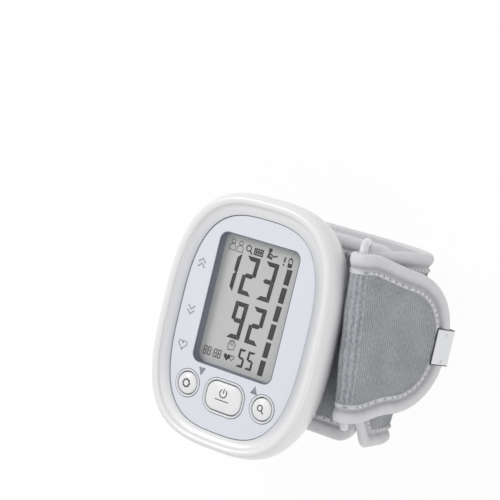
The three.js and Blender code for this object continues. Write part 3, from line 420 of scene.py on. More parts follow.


# Each material: how it is made, its colours, then roughness, grain and coat, or weave and painted
# crease shade
FINISHES = {
    # the shell's darker tone is painted shade down the cove
    "shell_plastic": (plastic_with_painted_cove_shade, "EBEBEC", "BFC1C7"),
    "white_plastic": (moulded, "EBEBEC", 0.32, 0.001, 0.35),
    "panel_plastic": (moulded, "DEE1E8", 0.3, 0.001, 0.3),
    "clear_window": (clear, "F2F5F7"),
    "display_glass": (display_face, "C6C6C4", "CBCBC9", "BDBDBC"),
    "dark_plastic": (moulded, "3A3B3D", 0.5),
    "inner_plastic": (moulded, "D8D8D6", 0.55),
    "board": (moulded, "2F6B46", 0.5),
    "chip_black": (moulded, "1D1D1F", 0.4),
    "sheet_metal": (metal, "C4C6C9", 0.32),
    "steel": (metal, "C9CACC", 0.25),
    "cell_sleeve": (moulded, "5D6A78", 0.35),
    "tube": (moulded, "D9D6CF", 0.6),
    "bladder_film": (moulded, "8B8F96", 0.5),
    "cuff_fabric": (ribbed_fabric, "C8CBD0", "72757B"),
    "binding_fabric": (satin, "E3E3E5", "999A9F", 0.5, 0.75),
    "lining_fabric": (satin, "CBCCD0", "A9AAAE", 1.1),
    "label_fabric": (satin, "DDE1E6", "C4C8CE", 0.4),
    "seam_cloth": (satin, "8F9094", "6C6D71", 0.6),
    "hook_tape": (plain_cloth, "5E5F64", "48494D"),
    "clip_plastic": (clip_with_painted_edge_shade, "EBECEE", "45464A"),
    # slate grey painted shade on the window's side wall
    "window_wall": (moulded, "6B7080", 0.45),
    "ring_finish": (moulded, "DCDDDF", 0.25, 0.001, 0.4),
    "ink": (moulded, "0E0E10", 0.6),
    "ghost_ink": (moulded, "4C4C4E", 0.6),
    "icon_ink": (moulded, "4E4E50", 0.5),
    "faint_ink": (moulded, "A9AFB8", 0.5),
    "sign_ink": (moulded, "8C939E", 0.5),
    "groove": (moulded, "7C7F86", 0.6),
    "thread": (plain_cloth, "F0F0F2", "E2E2E5"),
    "label_ink": (moulded, "26272A", 0.6),
}
MATERIALS = {name: make(name, *values) for name, (make, *values) in FINISHES.items()}

# What each carried-over CAD node is made of
KEYS = ("settings", "start", "memory")
NODE_SLOTS = {
    "display_glass": ["lcd_glass"],
    "dark_plastic": [
        *("lcd_frame", "display_connector", "pressure_sensor"),
        *(f"{key}_{part}" for key in KEYS for part in ("plunger", "switch")),
    ],
    "board": ["main_pcb"],
    "chip_black": ["processor_chip", "buzzer"],
    "steel": [
        *(f"housing_screw_{i}" for i in (1, 2, 3, 4)),
        *(f"contact_spring_{i}" for i in (1, 2)),
    ],
    "sheet_metal": ["contact_plate_1", "contact_plate_2", "air_pump"],
    "cell_sleeve": ["battery_1", "battery_2"],
    "inner_plastic": ["pump_head", "release_valve", "air_nipple", "cuff_stiffener"],
    "tube": ["air_hose"],
    "bladder_film": ["air_bladder"],
    "binding_fabric": ["ring_loop"],
    "clip_plastic": ["end_clip"],
}


# Meshes
def whole_turn(steps):
    return np.linspace(0, 2 * np.pi, steps, endpoint=False)


def unit(vectors):
    return vectors / np.linalg.norm(vectors, axis=-1, keepdims=True)


def distances(path):
    """How far along a path each of its points is"""
    return np.concatenate([[0], np.cumsum(np.linalg.norm(np.diff(path, axis=0), axis=1))])


def raised(flat, level):
    """Flat points at a level"""
    return np.column_stack([flat, np.full(len(flat), level)])


def smooth(value, low=0, high=1):
    t = np.clip((value - low) / (high - low), 0, 1)
    return t * t * (3 - 2 * t)


def raw(name, points, faces, clean=bmesh.ops.recalc_face_normals):
    """An object from points in millimetres"""
    mesh = bpy.data.meshes.new(name)
    faces = [[int(i) for i in face] for face in faces]
    mesh.from_pydata((np.asarray(points, float) * MM).tolist(), [], faces)
    piece = bpy.data.objects.new(name, mesh)
    scene.collection.objects.link(piece)
    shell = bmesh.new()
    shell.from_mesh(mesh)
    clean(shell, faces=shell.faces)
    shell.to_mesh(mesh)
    shell.free()
    return piece


def round_edges(piece, width, over=40, segments=2):
    edges = piece.modifiers.new("rounding", "BEVEL")
    edges.width = width * MM
    edges.segments = segments
    edges.limit_method = "ANGLE"
    edges.angle_limit = math.radians(over)
    edges.harden_normals = False


def dress(piece, material, body="monitor", angle=35):
    """Shading, material and the body that the piece rides on"""
    mesh = piece.data
    mesh.shade_smooth()
    mesh.set_sharp_from_angle(angle=math.radians(angle))
    mesh.materials.clear()
    mesh.materials.append(MATERIALS[material])
    if body:
        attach(piece, body)
    return piece


def loft(rings, closed=False):
    """Points and faces of a skin through rings of points, with its ends capped unless it closes"""
    rings = np.asarray(rings, float)
    count, size = rings.shape[:2]
    faces = []
    for r in range(count if closed else count - 1):
        after = (r + 1) % count
        for i in range(size):
            j = (i + 1) % size
            faces.append((r * size + i, r * size + j, after * size + j, after * size + i))
    if not closed:
        faces.append(tuple(range(size))[::-1])
        faces.append(tuple(range((count - 1) * size, count * size)))
    return rings.reshape(-1, 3), faces


def together(shapes):
    """Points and faces of many shapes as one"""
    points, faces, base = [], [], 0
    for shape_points, shape_faces in shapes:
        points.append(shape_points)
        faces += [tuple(base + i for i in face) for face in shape_faces]
        base += len(shape_points)
    return np.vstack(points), faces


def skin(name, rings, closed=False):
    return raw(name, *loft(rings, closed))


def prism(name, outline, low, high):
    """A plate of an outline between two levels"""
    return skin(name, [raised(outline, level) for level in (low, high)])


def corners(low_x, low_y, high_x, high_y):
    return [(low_x, low_y), (high_x, low_y), (high_x, high_y), (low_x, high_y)]


def block(name, low, high):
    return prism(name, corners(*low[:2], *high[:2]), low[2], high[2])


def carve(base, tools, operation="DIFFERENCE"):
    """Cuts, joins or keeps what is common, and removes the tools"""
    for tool in tools:
        step = base.modifiers.new("carve", "BOOLEAN")
        step.operation = operation
        step.solver = "EXACT"
        step.object = tool
    graph = bpy.context.evaluated_depsgraph_get()
    mesh = bpy.data.meshes.new_from_object(base.evaluated_get(graph))
    base.modifiers.clear()
    base.data = mesh
    for tool in tools:
        bpy.data.objects.remove(tool)
    return base


# Housing
def outline(inset, lower_share=1):
    """The housing's outline drawn in by an inset, or by a share of it at the lower end"""
    turn = whole_turn(OUTLINE_STEPS)
    across, along = np.cos(turn), np.sin(turn)
    x = np.sign(across) * np.abs(across) ** OUTLINE_POWER_SHARE * (HALF_WIDTH - inset)
    height = HALF_HEIGHT - inset * np.where(along < 0, lower_share, 1)
    y = np.sign(along) * np.abs(along) ** OUTLINE_POWER_SHARE * height
    return np.column_stack([x, y])


def ring_at(inset, depth, lower_share=1):
    return raised(outline(inset, lower_share), FACE_LEVEL - depth)


def side_inset(depth):
    share = max(0, (depth - WIDEST_DEPTH) / (HOUSING_DEPTH - WIDEST_DEPTH))
    kept = max(0, 1 - share**BACK_ROUND_SHARE)
    return BACK_DRAW_SHARE * HALF_WIDTH * (1 - kept ** (1 / BACK_ROUND_SHARE))


def side_rings(start, end, extra=0):
    """Rings down the side, closer together where it turns to the back"""
    shares = 1 - (1 - np.linspace(0, 1, SIDE_STEPS + 1)) ** 2
    shallow, deep = sorted((start, end))
    depths = shallow + (deep - shallow) * shares
    depths = depths if end > start else depths[::-1]
    return [ring_at(side_inset(depth) + extra, depth) for depth in depths]


def rim_rings():
    """Rings over the crest and down the cove to the panel's edge"""
    quarter = np.linspace(0, np.pi / 2, RIM_STEPS + 1)[1:]
    rise, fall = np.sin(quarter), 1 - np.cos(quarter)
    crest = np.array(CREST_SHARES)
    drop = RIM_RISE - RIM_INNER_DROP - PANEL_STEP
    insets = [
        *(RIM_INSET * fall),
        *(RIM_INSET + RIM_INNER_WIDTH * crest),
        *(RIM_INSET + RIM_INNER_WIDTH + COVE_WIDTH * fall),
    ]
    depths = [
        *(WIDEST_DEPTH - (WIDEST_DEPTH + RIM_RISE) * rise),
        *(RIM_INNER_DROP * crest**2 - RIM_RISE),
        *(RIM_INNER_DROP - RIM_RISE + drop * rise),
    ]
    return [ring_at(inset, depth, LOWER_INSET_SHARE) for inset, depth in zip(insets, depths)]


def rounded_rectangle(centre, size, radius, steps=12):
    """An outline, anticlockwise"""
    half = np.asarray(size[:2], float) / 2 - radius
    points = []
    for turn, signs in enumerate([(1, 1), (-1, 1), (-1, -1), (1, -1)]):
        swing = np.linspace(0, np.pi / 2, steps + 1) + turn * np.pi / 2
        round_corner = radius * np.column_stack([np.cos(swing), np.sin(swing)])
        points.append(np.asarray(centre[:2]) + signs * half + round_corner)
    points = np.vstack(points)
    apart = np.linalg.norm(points - np.roll(points, 1, axis=0), axis=1) > SAME_PLACE
    return points[apart]


def window_outline(grow):
    size = WINDOW_HIGH - WINDOW_LOW
    return rounded_rectangle(WINDOW_LOW + size / 2, size + 2 * grow, WINDOW_RADIUS + grow)


class Button:
    """A cap's place and size, from its CAD node, whose flange is wider than the cap"""

    def __init__(self, key, radius=None):
        low, high = span(f"{key}_button")
        self.key = key
        self.centre = ((low + high) / 2)[:2]
        self.half = (high - low) / 2 - BUTTON_FLANGE
        self.top = high[2]
        self.low = low[2]
        self.radius = radius or self.half[0]

    def outline(self, grow):
        return rounded_rectangle(self.centre, 2 * (self.half + grow), self.radius + grow)


BUTTONS = [Button("settings"), Button("start", START_RADIUS), Button("memory")]


def openings(low, high):
    """Tools that cut the window's and the buttons' holes between two levels"""
    outlines = [window_outline(SEAM), *(b.outline(BUTTON_GAP) for b in BUTTONS)]
    return [prism("hole", edge, low, high) for edge in outlines]


def across_housing(low_y, high_y, low_z, high_z):
    """A block wider than the housing"""
    return block("beyond", (-2 * HALF_WIDTH, low_y, low_z), (2 * HALF_WIDTH, high_y, high_z))


def mark_painted_cove_shade(shell):
    """Marks how far into the cove each point is, from its crest to the panel's edge, for the painted
    shade there
    """
    power = 2 / OUTLINE_POWER_SHARE
    x, y, z = (coordinates(shell.data) / MM).T
    reach = (np.abs(x / HALF_WIDTH) ** power + np.abs(y / HALF_HEIGHT) ** power) ** (1 / power)
    inset = (1 - reach) * HALF_WIDTH
    share = np.clip((inset - RIM_INSET - RIM_INNER_WIDTH) / COVE_WIDTH, 0, 1)
    share = np.where(z > FACE_LEVEL - PANEL_STEP, share, 0)
    field = shell.data.attributes.new("cove", "FLOAT", "POINT")
    field.data.foreach_set("value", share.astype(np.float32))


def housing_piece(piece, material, node, body="monitor"):
    dress(piece, material, body)
    round_edges(piece, EDGE_ROUND, EDGE_TURN)
    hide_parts(node)


def front_shell():
    rings = [*side_rings(PARTING_DEPTH, WIDEST_DEPTH), *rim_rings()]
    rings.append(ring_at(PANEL_INSET, PANEL_DEPTH + SEAM, LOWER_INSET_SHARE))
    shell = skin("front_shell", rings)
    deck = PANEL_DEPTH + SEAM + DECK_THICKNESS
    inside = skin("inside", side_rings(PARTING_DEPTH + OVERRUN, deck, WALL))
    parting = FACE_LEVEL - PARTING_DEPTH - OVERRUN
    door_gap = across_housing(DOOR_SEAM, 2 * HALF_HEIGHT, parting, FACE_LEVEL - DOOR_SEAM_DEPTH)
    carve(shell, [inside, door_gap, *openings(FACE_LEVEL - deck - OVERRUN, FACE_LEVEL)])
    mark_painted_cove_shade(shell)
    housing_piece(shell, "shell_plastic", "front_housing")


def rear_shell():
    shell = skin("rear_shell", side_rings(HOUSING_DEPTH, PARTING_DEPTH + SEAM))
    inside = skin("inside", side_rings(HOUSING_DEPTH - WALL, PARTING_DEPTH - OVERRUN, WALL))
    above = across_housing(DOOR_SEAM - SEAM, 2 * HALF_HEIGHT, BACK_LEVEL - OVERRUN, FACE_LEVEL)
    carve(shell, [inside, above])
    housing_piece(shell, "white_plastic", "rear_housing")


def cell_tray():
    """The bay's floor, inner wall and ends, seen when the door is off"""
    low, high = span("battery_1", "battery_2", "contact_plate_1", "contact_plate_2")
    floor_level = high[2] + TRAY_ROOM
    foot = floor_level + SEAM / 2
    low_y = low[1] - TRAY_ROOM - TRAY_WALL
    high_y = high[1] + TRAY_ROOM
    middle = (low[2] + high[2]) / 2
    half = max(-low[0], high[0]) + SEAM + TRAY_WALL
    ends = [sorted((side * half, side * (half - TRAY_WALL))) for side in (-1, 1)]
    boxes = [
        ((-half, low_y, floor_level), (half, high_y, floor_level + TRAY_WALL)),
        ((-half, low_y, low[2]), (half, low_y + TRAY_WALL, foot)),
        *(((left, low_y, middle), (right, high_y, foot)) for left, right in ends),
    ]
    floor_plate, *walls = (block("part", *box) for box in boxes)
    tray = carve(floor_plate, walls, "UNION")
    room = skin("room", side_rings(HOUSING_DEPTH - WALL, PANEL_DEPTH, DOOR_WALL + 2 * SEAM))
    carve(tray, [room], "INTERSECT")
    tray.name = "battery_bay"
    dress(tray, "white_plastic")
    round_edges(tray, EDGE_ROUND)


def door_rails(top, low):
    """Two guide rails that slide inside the housing's side walls"""
    middle_depth = (DOOR_SEAM_DEPTH + PARTING_DEPTH) / 2
    inset = side_inset(middle_depth + RAIL_BREADTH / 2) + WALL
    power = 2 / OUTLINE_POWER_SHARE
    taper = (1 - (low / (HALF_HEIGHT - inset)) ** power) ** (1 / power)
    outer = (HALF_WIDTH - inset) * taper - SEAM
    rail_low = FACE_LEVEL - middle_depth - RAIL_BREADTH / 2
    rails = []
    for side in (-1, 1):
        left, right = sorted((side * outer, side * (outer - RAIL_THICKNESS)))
        far_corner = (right, low + RAIL_LENGTH, rail_low + RAIL_BREADTH)
        rail = block("rail", (left, low - RAIL_LENGTH, rail_low), far_corner)
        kept = skin("kept", side_rings(HOUSING_DEPTH, top, DOOR_WALL / 2))
        rails.append(carve(rail, [kept], "INTERSECT"))
    return rails


def door():
    """The door's shell with its snap tab, the tab's heel and the rails"""
    top = DOOR_SEAM_DEPTH + SEAM
    low = DOOR_SEAM + SEAM
    shell = skin("door_shell", side_rings(HOUSING_DEPTH, top))
    inside = skin("inside", side_rings(HOUSING_DEPTH - DOOR_WALL, top - OVERRUN, DOOR_WALL))
    carve(shell, [inside, across_housing(-2 * HALF_HEIGHT, low, BACK_LEVEL - OVERRUN, FACE_LEVEL)])
    tab_low = BACK_LEVEL + WALL + SEAM
    far_corner = (TAB_WIDTH / 2, low + TAB_THICKNESS, tab_low + TAB_THICKNESS)
    tab = block("tab", (-TAB_WIDTH / 2, low - TAB_LENGTH, tab_low), far_corner)
    heel = block("heel", (-TAB_WIDTH / 2, low, BACK_LEVEL + DOOR_WALL / 2), far_corner)
    carve(shell, [tab, heel, *door_rails(top, low)], "UNION")
    housing_piece(shell, "white_plastic", "battery_door", "door")


def face_panel():
    low = FACE_LEVEL - PANEL_DEPTH
    panel = prism("panel", outline(PANEL_INSET + SEAM, LOWER_INSET_SHARE), low, FACE_LEVEL)
    carve(panel, openings(low - OVERRUN, FACE_LEVEL + OVERRUN))
    dress(panel, "panel_plastic")
    round_edges(panel, PANEL_ROUND, EDGE_TURN, 3)
    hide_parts("face_panel")


def swept_ring(name, ring_outline, profile, material):
    """A raised or sunk ring: a profile of distance outwards and level, carried round an outline"""
    rings = [raised(ring_outline(out), level) for out, level in profile]
    return dress(skin(name, rings, closed=True), material, angle=60)


def button_lips():
    """The raised lip round each hole, and a thin dark ring of painted shade for the groove that sets
    it off from the panel
    """
    turn = np.linspace(0, np.pi, LIP_STEPS + 1)
    lip_out = LIP_GAP + LIP_WIDTH * (1 - np.cos(turn)) / 2
    lip_rise = (LIP_RISE + LIP_ROOT) * np.sin(turn) ** LIP_FULL_SHARE
    lip = np.column_stack([lip_out, FACE_LEVEL - LIP_ROOT + lip_rise])
    out = LIP_GAP + LIP_WIDTH
    low, high = FACE_LEVEL - GROOVE_DEPTH, FACE_LEVEL + GROOVE_RISE
    groove = corners(out, low, out + GROOVE_WIDTH, high)
    for b in BUTTONS:
        swept_ring(f"{b.key}_lip", b.outline, lip, "white_plastic")
        swept_ring(f"{b.key}_groove", b.outline, groove, "groove")


def button_cap(b):
    """A domed cap with a rounded edge, and its flange under the deck"""
    shoulder = b.top - CAP_DOME - CAP_ROUND
    flange_top = b.low + FLANGE_THICKNESS
    rows = [(BUTTON_FLANGE, b.low), (BUTTON_FLANGE, flange_top), (0, flange_top), (0, shoulder)]
    for t in np.linspace(0, np.pi / 2, CAP_STEPS)[1:]:
        rows.append((CAP_ROUND * (math.cos(t) - 1), shoulder + CAP_ROUND * math.sin(t)))
    rings = [raised(b.outline(grow), level) for grow, level in rows]
    edge = b.outline(-CAP_ROUND)
    for share in DOME_SHARES:
        rings.append(raised(b.centre + (edge - b.centre) * share, b.top - CAP_DOME * share**2))
    cap = dress(skin(f"{b.key}_cap", rings), "white_plastic", f"{b.key}_key", angle=50)
    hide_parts(f"{b.key}_button")
    return cap


def window_pieces():
    """The wall down to the display, a dark film whose slate grey is painted shade, and the clear
    window over it
    """
    top = FACE_LEVEL - WALL_DROP
    wall = corners(WALL_GAP, GLASS_LEVEL, WALL_GAP - WALL_FILM, top)
    swept_ring("window_wall", window_outline, wall, "window_wall")
    pane_top = top - PANE_DROP
    pane = prism("window_pane", window_outline(-WALL_FILM), pane_top - PANE_THICKNESS, pane_top)
    dress(pane, "clear_window")
    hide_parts("display_window")


# Ink: flat shapes laid on a face, from outlines and strokes, and how sharp their corners get
TURN_SHARE = 0.2
MITRE_SHARE = 0.5


def stroke(points, width, closed=False):
    """A line of even width through points, as quads"""
    points = np.asarray(points, float)
    if closed:
        before, after = np.roll(points, 1, axis=0), np.roll(points, -1, axis=0)
    else:
        before = np.vstack([2 * points[0] - points[1], points[:-1]])
        after = np.vstack([points[1:], 2 * points[-1] - points[-2]])
    way_in = unit(points - before)
    middle = way_in + unit(after - points)
    middle /= np.maximum(np.linalg.norm(middle, axis=1), TURN_SHARE)[:, None]
    side = np.column_stack([-middle[:, 1], middle[:, 0]])
    reach = width / 2 / np.maximum(np.abs(np.sum(middle * way_in, axis=1)), MITRE_SHARE)
    left, right = points + side * reach[:, None], points - side * reach[:, None]
    count = len(points)
    faces = []
    for i in range(count if closed else count - 1):
        j = (i + 1) % count
        faces.append((i, j, count + j, count + i))
    return np.vstack([left, right]), faces


def area(points):
    return np.asarray(points, float), [tuple(range(len(points)))]


def circle(centre, radius, start=0, end=360, steps=28):
    turn = np.radians(np.linspace(start, end, steps + 1))
    if end - start == 360:
        turn = turn[:-1]
    return np.asarray(centre) + radius * np.column_stack([np.cos(turn), np.sin(turn)])


def signs(draw, lines=(), loops=(), rounds=(), boxes=()):
    """Shapes from tables, whose rows start with the pen's width, or 0 where they are filled"""
    outlines = [(pen, points) for pen, *points in loops]
    outlines += [(pen, circle((x, y), radius)) for pen, x, y, radius in rounds]
    outlines += [(pen, corners(*box)) for pen, *box in boxes]
    shapes = [draw(points, pen) for pen, *points in lines]
    return shapes + [draw(points, pen, True) if pen else area(points) for pen, points in outlines]


def shifted(shapes, offset):
    return [(points + offset, faces) for points, faces in shapes]


def cut_large(shell, faces):
    bmesh.ops.triangulate(shell, faces=[face for face in faces if len(face.verts) > 4])


def print_on(name, shapes, lay, material, body="monitor"):
    """Ink laid by a function that turns flat points into points on a face"""
    points, faces = together(shapes)
    piece = raw(name, lay(points), faces, cut_large)
    film = piece.modifiers.new("film", "SOLIDIFY")
    film.thickness = INK * MM
    film.offset = 0
    return dress(piece, material, body)


def at_level(level):
    return lambda flat: raised(flat, level + INK / 2)


def onto(piece):
    """Lays ink on what is straight below"""
    tree = BVHTree.FromObject(piece, bpy.context.evaluated_depsgraph_get())

    def below(x, y):
        start = Vector((x, y, CREST_LEVEL + OVERRUN)) * MM
        return np.array(tree.ray_cast(start, Vector((0, 0, -1)))[0]) / MM

    return lambda flat: np.array([below(x, y) + (0, 0, INK / 2) for x, y in flat])


# Seven-segment figures
SEGMENTS_OF = {"1": "bc", "2": "abged", "3": "abgcd", "5": "afgcd", "8": "abcdefg", "9": "abcdfg"}
SLANT_SHARE = 0.05


def segments(w, h, t, gap):
    """Each segment's outline in a figure of width w, height h and stroke t, by its usual letter"""
    m = h / 2
    top = np.array([(gap, h), (w - gap, h), (w - t - gap, h - t), (t + gap, h - t)])
    side = [(0, h - gap), (t, h - t - gap), (t, m + t / 2 + gap)]
    side = np.array([*side, (t / 2, m + gap / 2), (0, m + gap)])
    middle = np.array([(t / 2 + gap, m), (t + gap, m + t / 2), (w - t - gap, m + t / 2)])
    return {
        "a": top,
        "b": (w, 0) + side * (-1, 1),
        "c": (w, h) - side,
        "d": (0, h) + top * (1, -1),
        "e": (0, h) + side * (1, -1),
        "f": side,
        "g": np.vstack([middle, (w, h) - middle]),
    }


def figures(text, lefts, low, height, size):
    """A row of figures, leaning a little"""
    shapes = []
    width, pen, gap = size
    for character, left in zip(text, lefts):
        for letter in SEGMENTS_OF[character]:
            points = segments(width, height, pen, gap)[letter]
            points[:, 0] += SLANT_SHARE * (points[:, 1] - height / 2)
            shapes.append(area(points + (left, low)))
    return shapes


HEART_STEPS = 32


def heart(x, y, size):
    """A heart's outline by its usual formula"""
    turn = whole_turn(HEART_STEPS)
    across = 16 * np.sin(turn) ** 3
    up = 13 * np.cos(turn) - 5 * np.cos(2 * turn) - 2 * np.cos(3 * turn) - np.cos(4 * turn)
    return np.column_stack([across, up]) * size / 32 + (x, y)


# A plain standing figure, as shares of its height: head above and shoulders below
HEAD_RISE_SHARE = 0.3
HEAD_SHARE = 0.2
SHOULDER_SHARES = (
    *((-0.32, -0.5), (-0.3, -0.1), (-0.14, 0.06)),
    *((0.14, 0.06), (0.3, -0.1), (0.32, -0.5)),
)


def person(x, y, height, pen):
    head = circle((x, y + height * HEAD_RISE_SHARE), height * HEAD_SHARE)
    body = (x, y) + height * np.array(SHOULDER_SHARES)
    return [stroke(head, pen, True), stroke(body, pen, True)]


# The display, from the window's lower left corner: the figures' width, stroke and gap, and their
# rows as text, left edges, low edge and height
LARGE_FIGURE = (5.6, 1.6, 0.06)
SMALL_FIGURE = (2.9, 0.85, 0.05)
CLOCK_FIGURE = (1.45, 0.36, 0.04)
READINGS = (
    ("123", (2.2, 10.2, 18.3), 27.2, 14.1, LARGE_FIGURE),
    ("92", (9.9, 17.8), 11.1, 13.5, LARGE_FIGURE),
    ("55", (16.4, 20.2), 2.0, 6.7, SMALL_FIGURE),
)
CLOCK = ("8888", (1.5, 3.3, 6.0, 7.8), 2.6, 3.2, CLOCK_FIGURE)
BARS = 6
BAR_LOW = 1.5
BAR_PITCH = 6.7
BAR_SIZE = np.array([2.2, 5.6])
BAR_LEFT = 26.8
BAR_UPRIGHT = 22
BAR_ROUND = 0.2
MARK_MIDDLES = ((13.7, 43.35), (14.65, 43.35), (15.6, 43.35))
MARK_SIZE = (0.75, 1.3)
MARK_ROUND = 0.1
ROUND_STEPS = 3
BEAT_HEART = (11.9, 4.2, 2.9)

# A magnifier, a frame for the marks, a seated person, a warning sign and a cell
DISPLAY_SIGNS = {
    "lines": (
        (0.55, (11.0, 43.1), (12.0, 41.9)),
        (0.9, (19.2, 44.5), (18.8, 42.9), (20.7, 42.6)),
        (0.5, (19.2, 44.2), (21.2, 43.4), (22.6, 43.9)),
        (0.6, (25.9, 44.4), (25.8, 42.6)),
    ),
    "rounds": ((0.4, 10.3, 43.8, 1.0), (0, 19.3, 45.3, 0.75), (0, 25.75, 41.7, 0.34)),
    "boxes": (
        (0.5, 12.9, 42.3, 16.4, 44.4),
        (0.3, 27.6, 41.4, 29.1, 44.2),
        (0, 27.6, 41.4, 29.1, 42.7),
        (0, 28.0, 44.3, 28.7, 44.8),
    ),
}

# Signs that are off: two people, a heart, a hand, and the clock's figures and dots
GHOST_PEOPLE = ((3.4, 43.6, 3.9, 0.24), (6.7, 43.6, 3.9, 0.24))
GHOST_HEART = (13.9, 4.4, 2.2)
HAND = ((11.5, 6.9), (11.2, 8.8), (11.9, 10.3), (13.3, 10.5), (14.2, 9.3), (13.8, 7.2))
GHOST_SIGNS = {
    "lines": (
        (0.2, (12.0, 8.5), (12.1, 10.4)),
        (0.2, (12.6, 8.5), (12.7, 10.4)),
        (0.2, (13.2, 8.5), (13.3, 10.4)),
    ),
    "loops": ((0.28, *HAND),),
    "rounds": ((0, 5.5, 3.5, 0.22), (0, 5.5, 4.8, 0.22)),
}
HEART_PEN = 0.26


def display_ink():
    """What the display shows: three readings, a bar scale and small generic signs"""
    solid = [shape for row in READINGS for shape in figures(*row)]
    for k in range(BARS):
        low = np.array([BAR_LEFT, BAR_LOW + k * BAR_PITCH])
        bar = rounded_rectangle(low + BAR_SIZE / 2, BAR_SIZE, BAR_ROUND, ROUND_STEPS)
        bar[:, 0] += SLANT_SHARE * (bar[:, 1] - BAR_UPRIGHT)
        solid.append(area(bar))
    solid += [area(rounded_rectangle(at, MARK_SIZE, MARK_ROUND, ROUND_STEPS)) for at in MARK_MIDDLES]
    solid += [area(heart(*BEAT_HEART)), *signs(stroke, **DISPLAY_SIGNS)]
    ghost = [shape for place in GHOST_PEOPLE for shape in person(*place)]
    ghost += [*figures(*CLOCK), stroke(heart(*GHOST_HEART), HEART_PEN, True)]
    ghost += signs(stroke, **GHOST_SIGNS)
    lay = at_level(GLASS_LEVEL)
    print_on("display_figures", shifted(solid, WINDOW_LOW[:2]), lay, "ink")
    print_on("display_ghost_signs", shifted(ghost, WINDOW_LOW[:2]), lay, "ghost_ink")


# Printed signs on the panel: two triangles, arrows and a heart
TRIANGLE_SIZE = 2.9
TRIANGLE_PLACES = ((-11.6, -20.4, -1), (11.6, -20.4, 1))
TRIANGLE_SHARES = ((-0.5, -0.5), (0.5, -0.5), (0, 0.5))
SIGN_X = -22.3
ARROWS = ((18.1, 1), (16.3, 1), (0.6, -1), (-1.2, -1))
ARROW = np.array([(-1.5, -0.8), (0, 0.7), (1.5, -0.8)])
ARROW_PEN = 0.5
PANEL_HEART = (SIGN_X, -13.2, 3.6)
PANEL_HEART_PEN = 0.45


def panel_ink():
    lay = at_level(FACE_LEVEL)
    triangle = TRIANGLE_SIZE * np.array(TRIANGLE_SHARES)
    triangles = [area(triangle * (1, turned) + (x, y)) for x, y, turned in TRIANGLE_PLACES]
    print_on("panel_triangles", triangles, lay, "sign_ink")
    arrows = [stroke(ARROW * (1, turned) + (SIGN_X, y), ARROW_PEN) for y, turned in ARROWS]
    arrows.append(stroke(heart(*PANEL_HEART), PANEL_HEART_PEN, True))
    print_on("panel_signs", arrows, lay, "faint_ink")


# Signs on the caps, from each cap's middle: a gear, a power sign over a line, and a magnifier
GEAR_RADIUS = 1.35
GEAR_TOOTH = 0.16
GEAR_TEETH = 8
GEAR_FLAT_SHARE = 2.2
GEAR_PEN = 0.42
GEAR_STEPS = 96
POWER_CENTRE = (0, 1.6)
POWER_RADIUS = 1.45
POWER_PEN = 0.38
POWER_ARC = (125, 415, 30)
START_SIGNS = {
    "lines": ((POWER_PEN, POWER_CENTRE, (0, 3.3)), (0.34, (-2.9, -1.0), (0, -1.0), (2.9, -1.0))),
}
MEMORY_SIGNS = {"lines": ((0.5, (0.4, -0.35), (1.35, -1.35)),), "rounds": ((0.42, -0.3, 0.4, 1.0),)}


def cap_ink(caps):
    turn = whole_turn(GEAR_STEPS)
    teeth = np.clip(GEAR_FLAT_SHARE * np.cos(GEAR_TEETH * turn), -1, 1)
    radius = (GEAR_RADIUS + GEAR_TOOTH * teeth)[:, None]
    gear = [stroke(radius * np.column_stack([np.cos(turn), np.sin(turn)]), GEAR_PEN, True)]
    power = signs(stroke, **START_SIGNS)
    power.append(stroke(circle(POWER_CENTRE, POWER_RADIUS, *POWER_ARC), POWER_PEN))
    for shapes, b, cap in zip((gear, power, signs(stroke, **MEMORY_SIGNS)), BUTTONS, caps):
        print_on(f"{b.key}_sign", shifted(shapes, b.centre), onto(cap), "icon_ink", f"{b.key}_key")


# The cloth's run: a chain of curves seen from the strap's lower edge, in X and Z
def line(start, end):
    start, end = np.asarray(start, float), np.asarray(end, float)
    return lambda t: start + t[:, None] * (end - start)


def bend(start, end, shares):
    start, end = np.asarray(start, float), np.asarray(end, float)
    first, second = (start + np.array(share) * (end - start) for share in shares)

    def at(t):
        t = t[:, None]
        k = 1 - t
        return k**3 * start + 3 * k**2 * t * first + 3 * k * t**2 * second + t**3 * end

    return at


def on_circle(centre, radius, turn):
    return centre + radius * np.column_stack([np.cos(turn), np.sin(turn)])


def arc(centre, radius, start, end):
    return lambda t: on_circle(centre, radius, start + t * (end - start))


LEAN_PIVOT = np.array([RING_CENTRE[0], FOLD_ABOVE, RING_CENTRE[1]])
LEAN_CROSS = np.cross((0, 1, 0), unit(LEAN_TO))
LEAN_ANGLE = math.asin(np.linalg.norm(LEAN_CROSS))
LEAN_AXIS = unit(LEAN_CROSS)


def leaned(points, climb):
    """The crest leans with the ring: higher and further left at its upper end"""
    turn = (LEAN_ANGLE * smooth(climb))[..., None]
    away = points - LEAN_PIVOT
    along = np.sum(away * LEAN_AXIS, axis=-1, keepdims=True) * LEAN_AXIS
    turned = away * np.cos(turn) + np.cross(LEAN_AXIS, away) * np.sin(turn)
    return LEAN_PIVOT + turned + along * (1 - np.cos(turn))


